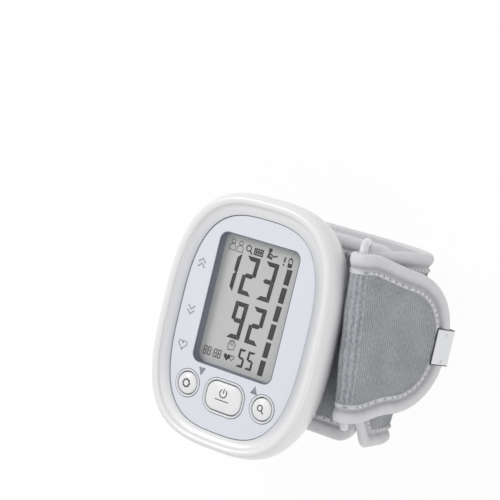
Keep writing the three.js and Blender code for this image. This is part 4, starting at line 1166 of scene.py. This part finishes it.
class Strip:
    """A strip of cloth: where a distance along, a distance across and a depth lie in space"""

    def __init__(self, chain):
        steps = np.linspace(0, 1, CURVE_SAMPLES)
        pieces = [(curve(steps), climb_at) for curve, climb_at in chain]
        points = np.vstack([piece for piece, _ in pieces])
        climbs = np.concatenate([climb_at(piece) for piece, climb_at in pieces])
        step = np.linalg.norm(np.diff(points, axis=0), axis=1)
        keep = np.concatenate([[True], step > SAME_PLACE])
        self.points, self.climb = points[keep], climbs[keep]
        self.run = distances(self.points)
        self.way = unit(np.gradient(self.points, self.run, axis=0))
        self.length = self.run[-1]

    def sample(self, run):
        """Place, way and climb at a distance along"""
        at = np.stack([np.interp(run, self.run, column) for column in self.points.T], -1)
        way = np.stack([np.interp(run, self.run, column) for column in self.way.T], -1)
        return at, unit(way), np.interp(run, self.run, self.climb)

    def place(self, run, across, depth):
        """Points in space; depth is measured inwards from the strip's outer face"""
        run, across, depth = np.broadcast_arrays(run, across, depth)
        at, way, climb = self.sample(run)
        x = at[..., 0] - way[..., 1] * depth
        z = at[..., 1] + way[..., 0] * depth
        return leaned(np.stack([x, across, z], -1), climb)


FOLD_RADIUS = RING_WIRE + SEAM
HANG_WAY = np.array([math.sin(HANG_ANGLE), -math.cos(HANG_ANGLE)])
FOLD_ANGLES = np.array([FOLD_ENTRY_ANGLE, HANG_ANGLE])
FOLD_ENTRY, FOLD_EXIT = on_circle(RING_CENTRE, FOLD_RADIUS, FOLD_ANGLES)
TONGUE_END = FOLD_EXIT + HANG_WAY * (ROOT_LENGTH + SEAM + TONGUE_LENGTH)


def level_run(points):
    return np.zeros(len(points))


def full_climb(points):
    return np.ones(len(points))


def rising(points):
    return np.clip((points[:, 1] - RISE_LEVEL) / (FOLD_ENTRY[1] - RISE_LEVEL), 0, 1)


STRAP = Strip(
    [
        (line((FLAP_END, CUFF_TOP), (SEAT_LEFT, CUFF_TOP)), level_run),
        (bend((SEAT_LEFT, CUFF_TOP), FOLD_LEFT, LEFT_TOP_SHARES), level_run),
        (bend(FOLD_LEFT, REST_START, LEFT_BOTTOM_SHARES), level_run),
        (line(REST_START, REST_END), level_run),
        (bend(REST_END, FOLD_RIGHT, RIGHT_BOTTOM_SHARES), level_run),
        (bend(FOLD_RIGHT, (RISE_OFFSET, RISE_LEVEL), RIGHT_SIDE_SHARES), level_run),
        (bend((RISE_OFFSET, RISE_LEVEL), FOLD_ENTRY, RISE_SHARES), rising),
        (arc(RING_CENTRE, FOLD_RADIUS, FOLD_ENTRY_ANGLE, HANG_ANGLE), full_climb),
        (line(FOLD_EXIT, TONGUE_END), full_climb),
    ]
)
ROOT_RUN = STRAP.length - TONGUE_LENGTH
CREST_RUN = ROOT_RUN - SEAM - ROOT_LENGTH - FOLD_RADIUS * (CREST_ANGLE - HANG_ANGLE)


def taper(run):
    return smooth(STRAP.sample(run)[2], 0, TAPER_SHARE)


def centre_line(run):
    return CUFF_ABOVE + taper(run) * (FOLD_ABOVE - CUFF_ABOVE)


def strap_edge(runs, side, inset=0):
    """One edge of the strap, side 1 the upper one, drawn in by an inset"""
    half = CUFF_HALF + taper(runs) * (FOLD_HALF - CUFF_HALF) - inset
    return np.column_stack([runs, centre_line(runs) + side * half])


def on_tongue(sideways, out):
    """Run and distance across at a place on the tongue, whose tip is turned to the lower edge"""
    x = sideways * math.cos(TONGUE_TURN) + out * math.sin(TONGUE_TURN)
    y = out * math.cos(TONGUE_TURN) - sideways * math.sin(TONGUE_TURN)
    return np.stack([ROOT_RUN + y, FOLD_ABOVE - x], -1)


# Where the cloth starts to swell and where it does so fully, by its steepness and its climb
STEEP_SHARES = (0.1, 0.75)
CLIMB_SHARES = (0.02, 0.3)


def proudness(run):
    """How far the binding and the fabric may swell: not under the housing, nor where they rest"""
    at, way, climb = STRAP.sample(run)
    return np.maximum(smooth(np.abs(way[..., 1]), *STEEP_SHARES), smooth(climb, *CLIMB_SHARES))


def mark_strip(piece, run, across):
    """Distances along and across the cloth at each point, for its material"""
    field = piece.data.attributes.new("strip", "FLOAT_VECTOR", "POINT")
    values = np.column_stack([run.ravel(), across.ravel(), np.zeros(run.size)])
    field.data.foreach_set("vector", values.ravel().astype(np.float32))


def folded(outer, inner):
    """Rows that go over the outer side and back over the inner one"""
    return np.concatenate([outer, inner[:, ::-1]], axis=1)


def ply(name, run, across, outer, inner):
    """A closed skin between two faces of a strip, marked for its material"""
    piece = skin(name, folded(outer, inner))
    mark_strip(piece, folded(run, run), folded(across, across))
    return piece


COARSE_STEP = 1.4
FLAP_STEP = 1
FINE_STEP = 0.35
LEAST_STEP = 0.12
CREST_BEFORE = 5
ROOT_AFTER = 2
TIP_RUN = 16
FINE_RUNS = (
    (CREST_RUN - CREST_BEFORE, ROOT_RUN + ROOT_AFTER),
    (STRAP.length - TIP_RUN, STRAP.length),
)


def runs_between(start, end, coarse=COARSE_STEP):
    """Stations: coarse on long stretches, fine round the crest and at the tongue's tip"""
    base = list(np.linspace(start, end, int(math.ceil((end - start) / coarse)) + 1))
    for low, high in FINE_RUNS:
        low, high = max(low, start), min(high, end)
        if high > low:
            base += list(np.linspace(low, high, int((high - low) / FINE_STEP) + 2))
    base = np.unique(np.round(base, 4))
    return base[np.concatenate([[True], np.diff(base) > LEAST_STEP])]


FABRIC_STEPS = 26
FABRIC_SWELL = 0.5
FABRIC_SINK = 0.12
FABRIC_WAVE = 0.12
WAVES_ACROSS = 0.35
WAVES_ALONG = 0.11
CREST_LEAD = 30
FABRIC_TURN = 60


def fabric_rise(run, across, share):
    """How far the fabric swells out of its bed; share runs from one binding to the other"""
    wave = FABRIC_WAVE * np.sin(across * WAVES_ACROSS + run * WAVES_ALONG)
    return proudness(run) * (FABRIC_SWELL * (1 - share**2) + wave)


def fabric_sheet(name, lower, upper, node, body):
    """The ribbed fabric between two edges, each of runs and distances across, as one closed skin"""
    share = np.linspace(-1, 1, FABRIC_STEPS)[None, :]
    grid = lower[:, None, :] + (share[..., None] + 1) / 2 * (upper - lower)[:, None, :]
    run, across = grid[..., 0], grid[..., 1]
    rise = fabric_rise(run, across, share)
    outer = STRAP.place(run, across, FABRIC_SINK - rise)
    inner_rise = rise * smooth(run, CREST_RUN - CREST_LEAD, CREST_RUN)
    inner = STRAP.place(run, across, STRAP_THICKNESS - FABRIC_SINK + inner_rise)
    piece = ply(name, run, across, outer, inner)
    dress(piece, "cuff_fabric", body, FABRIC_TURN)
    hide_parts(node)
    return piece


# The binding's section: distance in from the edge, and rise over the face as a share of its roll
BINDING_SHARES = (
    *((1.0, -0.3), (0.99, 0.3), (0.95, 0.5), (0.88, 0.5), (0.83, 0.3)),
    *((0.79, -0.1), (0.75, -0.3), (0.69, -0.2), (0.6, 0.25), (0.5, 0.7)),
    *((0.38, 1.0), (0.25, 0.95), (0.13, 0.55), (0.04, -0.15), (0.0, -0.9)),
)
FLAT_SHARE = 0.22
CREST_CALM = 0.7
CREST_REACH = 4.5

# The sewn binding's puckers: each wave's share of the rise, and its turns in each millimetre
PUCKER_SHARES = ((0.1, 1.9), (0.07, 0.53))
BINDING_TURN = 75


def inward_of(path):
    """Left of a path's way at each of its points: into the cloth"""
    way = unit(np.gradient(path, axis=0))
    return np.column_stack([-way[:, 1], way[:, 0]])


def edge_band(name, path, body, *nodes):
    """Binding folded over an edge: its section carried along a path of runs and distances across"""
    distance = distances(path)
    shares, rise = np.array(BINDING_SHARES).T
    section_in = shares * BINDING_WIDTH
    flat = path[:, None, :] + inward_of(path)[:, None, :] * section_in[None, :, None]
    run, across = flat[..., 0], flat[..., 1]
    proud = FLAT_SHARE + (1 - FLAT_SHARE) * proudness(path[:, 0])[:, None]
    fold = 1 - CREST_CALM * np.exp(-(((path[:, 0] - CREST_RUN) / CREST_REACH) ** 2))[:, None]
    pucker = 1 + sum(share * np.sin(distance * turns) for share, turns in PUCKER_SHARES)[:, None]
    height = rise * BINDING_ROLL * np.where(rise > 0, proud * pucker * fold, 1)
    outer = STRAP.place(run, across, -height)
    inner = STRAP.place(run, across, STRAP_THICKNESS + height)
    rings = np.concatenate([outer, inner[:, ::-1][:, 1:]], axis=1)
    piece = skin(name, rings)
    strip_across = np.concatenate([section_in, section_in[::-1][1:]])
    mark_strip(piece, *np.broadcast_arrays(distance[:, None], strip_across[None, :]))
    dress(piece, "binding_fabric", body, BINDING_TURN)
    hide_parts(*nodes)
    return piece


def resample(points, pitch, count=None):
    """Points at an even pitch along a path, or so many of them"""
    points = np.asarray(points, float)
    distance = distances(points)
    count = count or max(2, int(round(distance[-1] / pitch)) + 1)
    at = np.linspace(0, distance[-1], count)
    return np.column_stack([np.interp(at, distance, column) for column in points.T])


# A stitch's thickness along its length, both as shares, and how its thread lies
GRAIN_SHARES = ((0, 0.35), (0.2, 0.9), (0.5, 1), (0.8, 0.9), (1, 0.35))
STITCH_BED_SHARE = 0.5
STITCH_LIFT_SHARE = 0.35
STITCH_AHEAD = 0.2
THREAD_SIDES = 6
THREAD_TURN = 80


def thread_ring(centre, side, normal, radius):
    turn = whole_turn(THREAD_SIDES)
    return centre + radius * (np.outer(np.cos(turn), side) + np.outer(np.sin(turn), normal))


def stitches(name, path, body, face=0):
    """Thread along the lip: short grains half sunk in the cloth; face 1 is the strap's inner one"""
    distance = distances(path)
    seam = path + inward_of(path) * (BINDING_WIDTH - STITCH_INSET)
    grains = []
    for start in np.arange(STITCH_PITCH / 2, distance[-1] - STITCH_LENGTH, STITCH_PITCH):
        rings = []
        for share, thick in GRAIN_SHARES:
            at = start + share * STITCH_LENGTH
            spot = np.array([np.interp(at, distance, column) for column in seam.T])
            ahead = [np.interp(at + STITCH_AHEAD, distance, column) for column in seam.T]
            proud = FLAT_SHARE + (1 - FLAT_SHARE) * proudness(spot[0])
            height = STITCH_BED_SHARE * BINDING_ROLL * proud
            lift = height + STITCH_RADIUS * STITCH_LIFT_SHARE * thick
            depth = STRAP_THICKNESS + lift if face else -lift
            here = STRAP.place(*spot, depth)
            along = unit(STRAP.place(*ahead, depth) - here)
            normal = STRAP.place(*spot, depth - 1) - here
            rings.append(thread_ring(here, np.cross(along, normal), normal, STITCH_RADIUS * thick))
        grains.append(loft(rings))
    return dress(raw(name, *together(grains)), "thread", body, THREAD_TURN)


CORNER_STEPS = 10


def flap_path():
    """From the crest's upper edge back to the flap's end, round its corners and out again"""
    runs = runs_between(FLAP_CORNER, CREST_RUN, FLAP_STEP)
    lower = strap_edge(runs, -1)[::-1]
    middle = centre_line(0)
    reach = CUFF_HALF - FLAP_CORNER
    low = circle((FLAP_CORNER, middle - reach), FLAP_CORNER, 270, 180, CORNER_STEPS)
    high = circle((FLAP_CORNER, middle + reach), FLAP_CORNER, 180, 90, CORNER_STEPS)
    end = resample([low[-1], high[0]], FLAP_STEP)[1:-1]
    return np.vstack([lower[:-1], low, end, high, strap_edge(runs, 1)[1:]])[::-1]


SOFTEN_TIMES = 14
TIP_STEPS = 30
TIP_STEP = 0.8
TONGUE_ROWS = 70


def tongue_side(side):
    """One edge of the tongue from the crest to its tip's straight part, side 1 the upper one"""
    swing = np.linspace(0, np.pi / 2, TIP_STEPS)
    sideways = -side * (TONGUE_TIP_HALF + TONGUE_CORNER * np.cos(swing))
    corner = on_tongue(sideways, TONGUE_LENGTH - TONGUE_CORNER * (1 - np.sin(swing)))
    root = [(run, FOLD_ABOVE + side * FOLD_HALF) for run in (CREST_RUN, ROOT_RUN)]
    return resample(np.vstack([root, corner]), 0, TONGUE_ROWS)


def tongue_path():
    """From the crest's lower edge down the tongue, round its tip and up again, with soft corners"""
    lower, upper = tongue_side(-1), tongue_side(1)
    tip = resample([lower[-1], upper[-1]], TIP_STEP)[1:-1]
    path = np.vstack([lower, tip, upper[::-1]])
    for _ in range(SOFTEN_TIMES):
        path[1:-1] = (path[:-2] + 2 * path[1:-1] + path[2:]) / 4
    return path


BEND_BEFORE = 2.5
BEND_AFTER = 5


def bend_at_hinge(piece):
    """Bakes the piece's placing into its mesh; where the cloth would bend, over the ring and past
    the tongue's root, is worked out but not used
    """
    ends = (ROOT_RUN - BEND_BEFORE, ROOT_RUN + BEND_AFTER)
    start, end = (STRAP.place(run, FOLD_ABOVE, STRAP_THICKNESS / 2) * MM for run in ends)
    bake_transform(piece)


def strap():
    """The strap as far as its crest, and the tongue beyond it, each with binding and stitches"""
    under = BINDING_WIDTH - SEAM
    runs = runs_between(under, CREST_RUN)
    edges = [strap_edge(runs, side, under) for side in (-1, 1)]
    fabric_sheet("strap_fabric", *edges, "cuff_strap", "monitor")
    path = flap_path()
    edge_band("strap_binding", path, "monitor", "upper_binding", "lower_binding")
    stitches("strap_stitches", path, "monitor")
    path = tongue_path()
    edge = path + inward_of(path) * under
    edges = edge[:TONGUE_ROWS], edge[::-1][:TONGUE_ROWS]
    bend_at_hinge(fabric_sheet("tongue_fabric", *edges, "tongue_flap", None))
    bend_at_hinge(edge_band("tongue_hem", path, None, "tongue_binding"))
    bend_at_hinge(stitches("tongue_stitches", path, None, face=1))


# The lining's own run, inside the strap
LINING_TOP = 36.4
LINING_BOTTOM = 4.2
LINING_EDGE = np.array([37.4, 39.2])
HEM_WIDTH = 4
LINING_HEM = LINING_EDGE - (HEM_WIDTH, 0)
LINING_SEAT = (24.3, LINING_TOP)
LINING_TURN = (-22, LINING_TOP)
LINING_LEFT = np.array([-39, 21])
LINING_REST_START = (-12, LINING_BOTTOM)
LINING_REST_END = (12, LINING_BOTTOM)
LINING_END = np.array([39, 20])
LINING_INSET = 1
LINING = Strip(
    [
        (line(LINING_EDGE, LINING_HEM), level_run),
        (bend(LINING_HEM, LINING_SEAT, SLOPE_SHARES), level_run),
        (line(LINING_SEAT, LINING_TURN), level_run),
        (bend(LINING_TURN, LINING_LEFT, LEFT_TOP_SHARES), level_run),
        (bend(LINING_LEFT, LINING_REST_START, LEFT_BOTTOM_SHARES), level_run),
        (line(LINING_REST_START, LINING_REST_END), level_run),
        (bend(LINING_REST_END, LINING_END, RIGHT_BOTTOM_SHARES), level_run),
    ]
)
LINING_ROWS = 150
LINING_COLUMNS = 28
LINING_ROUND = 0.35
LINING_FLAT_SHARE = 0.6
LINING_SEWN_SHARE = 0.9
LINING_SEWN_RUN = 3
LINING_TURN_ANGLE = 70
EDGE_POWER = 14
PUFF_POWER = 8
PUFF_START = 0.35
PUFF_LEAD = 6
PUFF_REACH = 1.8
PUFF_PRESSURE = 30
PUFF_SLACK_SHARE = 0.06
PUFF_FRAMES = 20
CLOTH_MASS = 0.3
CLOTH_QUALITY = 5


def puff(piece, sewn, inward):
    """Blows a closed skin up as cloth, held at its sewn points, and keeps what swells inwards"""
    mesh = piece.data
    group = piece.vertex_groups.new(name="sewn")
    group.add([int(i) for i in np.flatnonzero(sewn)], 1, "REPLACE")
    cloth = piece.modifiers.new("cloth", "CLOTH")
    settings = cloth.settings
    settings.vertex_group_mass = group.name
    settings.use_pressure = True
    settings.uniform_pressure_force = PUFF_PRESSURE
    settings.shrink_min = -PUFF_SLACK_SHARE
    settings.effector_weights.gravity = 0
    settings.mass = CLOTH_MASS
    settings.quality = CLOTH_QUALITY
    cloth.point_cache.frame_end = PUFF_FRAMES
    for frame_number in range(1, PUFF_FRAMES + 1):
        scene.frame_set(frame_number)
    before = coordinates(mesh)
    swollen = piece.evaluated_get(bpy.context.evaluated_depsgraph_get())
    moved = coordinates(swollen.data) - before
    moved -= inward * np.minimum(0, np.sum(moved * inward, axis=1, keepdims=True))
    length = np.linalg.norm(moved, axis=1, keepdims=True)
    reach = PUFF_REACH * MM
    moved *= reach * np.tanh(length / reach) / np.maximum(length, reach * MM)
    piece.modifiers.remove(cloth)
    piece.vertex_groups.remove(group)
    mesh.vertices.foreach_set("co", (before + moved).ravel().astype(np.float32))
    mesh.update()
    scene.frame_set(1)


def lining():
    """The padded inner ply: sewn along its edges and blown up softly inwards"""
    runs = np.linspace(0, LINING.length, LINING_ROWS)[:, None]
    share = np.linspace(-1, 1, LINING_COLUMNS)[None, :]
    run, across = np.broadcast_arrays(runs, CUFF_ABOVE + (CUFF_HALF - LINING_INSET) * share)
    ends = np.minimum(runs, LINING.length - runs)
    outer = LINING.place(run, across, LINING_ROUND * share**EDGE_POWER)
    full = LINING_FLAT_SHARE + (1 - LINING_FLAT_SHARE) * (1 - share**EDGE_POWER)
    start = PUFF_START * (1 - share**PUFF_POWER) * smooth(ends, 0, PUFF_LEAD)
    inner = LINING.place(run, across, LINING_THICKNESS * full + start)
    piece = ply("padded_lining", run, across, outer, inner)
    free = (np.abs(share) < LINING_SEWN_SHARE) & (ends > LINING_SEWN_RUN)
    sewn = folded(np.ones_like(free), ~free)
    puff(piece, sewn.ravel(), unit(folded(inner - outer, inner - outer).reshape(-1, 3)))
    dress(piece, "lining_fabric", angle=LINING_TURN_ANGLE)
    softer = piece.modifiers.new("softer", "SUBSURF")
    softer.levels = softer.render_levels = 1
    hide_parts("cuff_lining")


# The label and the channel beside it, sewn on the strap; the channel's dark grey is partly its own
# and partly painted shade of its recess
LABEL_RUN = (84, 96)
CHANNEL_RUN = (80.9, 84)
LABEL_HALF = CUFF_HALF - BINDING_WIDTH - SEAM
LABEL_LIFT = 0.4
CHANNEL_LIFT = 0.12
TAPE_SINK = SEAM / 10
TAPE_ROWS = 12
TAPE_COLUMNS = 40
TAPE_TURN = 50

# The label's pictograms: places along the strap from the label's middle, and across the strap
PEN = 0.32
FINE_PEN = 0.22
PEN_STEP = 0.4
LABEL_HEART = (1.0, 16.3, 1.5)
FIGURE_BODY = (
    *((-0.6, 20.2), (0.2, 18.9), (2.6, 17.8), (3.4, 15.4), (3.5, 9.4)),
    *((-3.6, 9.4), (-3.7, 16.4), (-3.0, 18.6), (-2.2, 20.2)),
)
PALM = (
    *((-1.9, -1.9), (-1.9, 0.6), (-1.4, 1.1), (1.5, 1.1), (1.9, 0.4)),
    *((3.1, 1.6), (3.6, 1.1), (2.2, -1.2), (1.8, -1.9)),
)
FINGERS = ((-1.5, 3.2), (-0.5, 3.9), (0.45, 3.7), (1.35, 2.9))
FINGER_ROOT = 1.1
FINGER_HALF = 0.35
FINGER_TIP_SHARE = 6 / 7
LABEL_SIGNS = {
    "lines": (
        (PEN, *FIGURE_BODY),
        (PEN, (3.4, 15.4), (1.9, 11.6), (-0.7, 14.4)),
        (PEN, (-4.2, 6.4), (4.2, 6.4)),
        (PEN, *PALM),
        (PEN, (-1.8, -5.3), (-2.2, -8.2)),
        (PEN, (1.8, -5.3), (2.2, -8.2)),
        (PEN, (-1.0, -19.4), (1.0, -17.4)),
    ),
    "rounds": ((PEN, -1.4, 22.6, 2.3), (PEN, 0, -13.4, 0.8)),
    "boxes": (
        (PEN, -2.35, 14.45, -0.65, 15.95),
        (PEN, -2.4, -5.2, 2.4, -2.0),
        (FINE_PEN, -1.1, -4.5, 1.1, -2.7),
        (PEN, -1.5, -14.9, 1.5, -11.9),
        (PEN, -1.5, -19.9, 1.5, -16.9),
    ),
}

# Rows of dashes beside the pictograms: place along the strap, start, end, pitch and dash
DASHES = ((4.6, 9.4, 24, 2.1, 1.1), (-4.2, -8, 0, 1.1, 0.5), (-3.5, -8, 0, 1.1, 0.5))


def tape(name, ends, lift, material):
    """A flat strip sewn on the strap, following how the fabric swells"""
    runs = np.linspace(*ends, TAPE_ROWS)[:, None]
    share = np.linspace(-1, 1, TAPE_COLUMNS)[None, :]
    run, across = np.broadcast_arrays(runs, CUFF_ABOVE + LABEL_HALF * share)
    under = FABRIC_SINK - fabric_rise(run, across, share)
    outer, inner = (STRAP.place(run, across, under - rise) for rise in (lift, TAPE_SINK))
    return dress(ply(name, run, across, outer, inner), material, angle=TAPE_TURN)


def drawn(points, width, closed=False):
    """A line drawn in short steps, so that it follows the cloth"""
    points = resample([*points, points[0]] if closed else points, PEN_STEP)
    return stroke(points[:-1] if closed else points, width, closed)


def lay_on_label(flat):
    run, across = flat.T
    rise = fabric_rise(run, across, (across - CUFF_ABOVE) / LABEL_HALF)
    return STRAP.place(run, across, FABRIC_SINK - rise - LABEL_LIFT - INK / 2)


def label():
    """A sewn label with plain line drawings: how the monitor is held, and where it sits"""
    # A flat strip whose darker grey is partly painted shade of the recessed channel
    tape("label_channel", CHANNEL_RUN, CHANNEL_LIFT, "seam_cloth")
    strip = tape("label_strip", LABEL_RUN, LABEL_LIFT, "label_fabric")
    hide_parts("care_label")
    edges = (np.array([(run, side * LABEL_HALF) for run in LABEL_RUN]) for side in (-1, 1))
    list(edges)
    shapes = [area(heart(*LABEL_HEART)), *signs(drawn, **LABEL_SIGNS)]
    for x, start, end, pitch, dash in DASHES:
        shapes += [drawn([(x, y), (x, y + dash)], FINE_PEN) for y in np.arange(start, end, pitch)]
    for middle, reach in FINGERS:
        half = np.array([(-1, 0), (-FINGER_TIP_SHARE, 1), (FINGER_TIP_SHARE, 1), (1, 0)])
        finger = half * (FINGER_HALF, reach - FINGER_ROOT) + (middle, FINGER_ROOT)
        shapes.append(drawn(finger, FINE_PEN))
    middle = (sum(LABEL_RUN) / 2, 0)
    print_on("label_pictograms", shifted(shapes, middle), lay_on_label, "label_ink")


WIRE_SIDES = 16
WIRE_STEPS = 8
WIRE_TURN = 60
WIRE_END = 1


def metal_ring():
    """The ring's wire, carried round a long rectangle with round corners"""
    reach = np.array([RING_REACH[0], 0, RING_REACH[1]])
    length = np.linalg.norm(reach)
    across = unit(reach)
    side = np.array([across[2], 0, -across[0]])
    half_long = FOLD_HALF + WIRE_END + RING_WIRE
    path = rounded_rectangle((length / 2, 0), (length, 2 * half_long), 2 * RING_WIRE, WIRE_STEPS)
    way = unit(np.roll(path, -1, axis=0) - np.roll(path, 1, axis=0))
    turn = whole_turn(WIRE_SIDES)
    out = np.column_stack([way[:, 1], -way[:, 0]])
    flat = path[:, None, :] + out[:, None, :] * (RING_WIRE * np.cos(turn))[None, :, None]
    rings = flat[..., :1] * across + flat[..., 1:] * (0, 1, 0)
    rings = rings + (RING_WIRE * np.sin(turn))[None, :, None] * side
    rings = leaned(rings + LEAN_PIVOT, np.ones(rings.shape[:2]))
    piece = dress(skin("metal_ring", rings, closed=True), "ring_finish", angle=WIRE_TURN)
    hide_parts("d_ring")


# Hook tape, and its stubs: how deep each ring of a stub lies under the tape's face, and its radius
HOOK_START = 13
HOOK_SIZE = (15, 26)
HOOK_THICKNESS = 0.45
HOOK_ROUND = 0.15
HOOK_PITCH = 1.1
HOOK_MARGIN = 0.8
HOOK_END_MARGIN = 0.5
STUB = ((0.4, 0.16), (0.8, 0.14), (0.98, 0.28))


def hook_patch():
    """Hook tape under the tongue: a backing and rows of stubs"""
    end = HOOK_START + HOOK_SIZE[0]
    half = HOOK_SIZE[1] / 2
    edge = corners(-half, HOOK_START, half, end)
    depths = (-SEAM, -SEAM - HOOK_THICKNESS)
    rings = [[STRAP.place(*on_tongue(*spot), depth) for spot in edge] for depth in depths]
    piece = dress(skin("hook_backing", rings), "hook_tape", "tongue")
    round_edges(piece, HOOK_ROUND)
    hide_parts("hook_patch")
    stubs = []
    for out in np.arange(HOOK_START + HOOK_MARGIN, end - HOOK_END_MARGIN, HOOK_PITCH):
        for sideways in np.arange(HOOK_MARGIN - half, half - HOOK_END_MARGIN, HOOK_PITCH):
            rings = []
            for depth, radius in STUB:
                square = (sideways, out) + radius * np.array(corners(-1, -1, 1, 1))
                rings.append(STRAP.place(*on_tongue(*square.T).T, -SEAM - depth))
            stubs.append(loft(rings))
    dress(raw("hook_stubs", *together(stubs)), "hook_tape", "tongue")


CLIP_ROUND = 0.35


def carried_over():
    """CAD nodes that stay as they are get a material and smooth shading, the clip round edges"""
    for slot, names in NODE_SLOTS.items():
        for name in names:
            dress(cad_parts[name], slot, None)
    round_edges(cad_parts["end_clip"], CLIP_ROUND, segments=3)


# Studio: a pale floor that shows white to the camera and keeps a soft shadow
FLOOR_HALF = 6000
FLOOR_LEVEL = -0.35
FLOOR_GREY_SHARE = 0.86
FLOOR_WHITE_SHARE = 0.96


def floor():
    edge = corners(-FLOOR_HALF, -FLOOR_HALF, FLOOR_HALF, FLOOR_HALF)
    piece = raw("floor", raised(edge, FLOOR_LEVEL), [(0, 1, 2, 3)])
    shade = Shade("floor", "FFFFFF", 1)
    nodes, links = shade.nodes, shade.links
    nodes.clear()
    diffuse = nodes.new("ShaderNodeBsdfDiffuse")
    diffuse.inputs["Color"].default_value = (*[FLOOR_GREY_SHARE] * 3, 1)
    white = nodes.new("ShaderNodeEmission")
    white.inputs["Strength"].default_value = 1
    rays = nodes.new("ShaderNodeLightPath")
    seen = rays.outputs["Is Camera Ray"]
    for other in ("Is Glossy Ray", "Is Transmission Ray"):
        seen = shade.math("MAXIMUM", seen, rays.outputs[other])
    mix = nodes.new("ShaderNodeMixShader")
    out = nodes.new("ShaderNodeOutputMaterial")
    links.new(shade.math("MULTIPLY", seen, FLOOR_WHITE_SHARE), mix.inputs["Fac"])
    links.new(diffuse.outputs[0], mix.inputs[1])
    links.new(white.outputs[0], mix.inputs[2])
    links.new(mix.outputs[0], out.inputs["Surface"])
    piece.data.materials.append(shade.material)


# Lamps: place, side and power in watts
AIM = np.array([5, 2, 35])
LAMP_SIZE = 500
LAMPS = {"key": ((-500, 450, 750), 4.3), "fill": ((700, -300, 500), 1.5)}
SKY_STRENGTH = 0.6


def lamp(name, place, power):
    """A soft square lamp aimed at the monitor"""
    data = bpy.data.lights.new(name, "AREA")
    data.shape = "SQUARE"
    data.size = LAMP_SIZE * MM
    data.energy = power
    made = bpy.data.objects.new(name, data)
    scene.collection.objects.link(made)
    way = Vector((AIM - np.array(place)).tolist())
    made.location = Vector(place) * MM
    made.rotation_euler = way.to_track_quat("-Z", "Y").to_euler()


def studio():
    world = bpy.data.worlds.new("studio")
    scene.world = world
    world.use_nodes = True
    back = world.node_tree.nodes["Background"]
    back.inputs["Color"].default_value = (1, 1, 1, 1)
    back.inputs["Strength"].default_value = SKY_STRENGTH
    for name, values in LAMPS.items():
        lamp(name, *values)
    floor()


# Camera: place and axes, and its lens and sensor
CAMERA_PLACE = (295.2, 73.6, 545.0)
CAMERA_RIGHT = (0.81306, 0.23444, -0.53286)
CAMERA_UP = (-0.24244, 0.96854, 0.05621)
CAMERA_BACK = (0.52927, 0.08350, 0.84432)
CAMERA_LENS = 115.2
CAMERA_SENSOR = 36
CAMERA_NEAREST = 10


def camera():
    data = bpy.data.cameras.new("camera")
    data.lens = CAMERA_LENS
    data.sensor_width = CAMERA_SENSOR
    data.clip_start = CAMERA_NEAREST * MM
    made = bpy.data.objects.new("camera", data)
    scene.collection.objects.link(made)
    axes = Matrix((CAMERA_RIGHT, CAMERA_UP, CAMERA_BACK)).transposed().to_4x4()
    made.matrix_world = Matrix.Translation(Vector(CAMERA_PLACE) * MM) @ axes
    scene.camera = made


front_shell()
rear_shell()
cell_tray()
door()
face_panel()
button_lips()
caps = [button_cap(b) for b in BUTTONS]
window_pieces()
display_ink()
panel_ink()
cap_ink(caps)
strap()
lining()
label()
metal_ring()
hook_patch()
carried_over()
studio()
camera()
scene.view_settings.view_transform = "Standard"
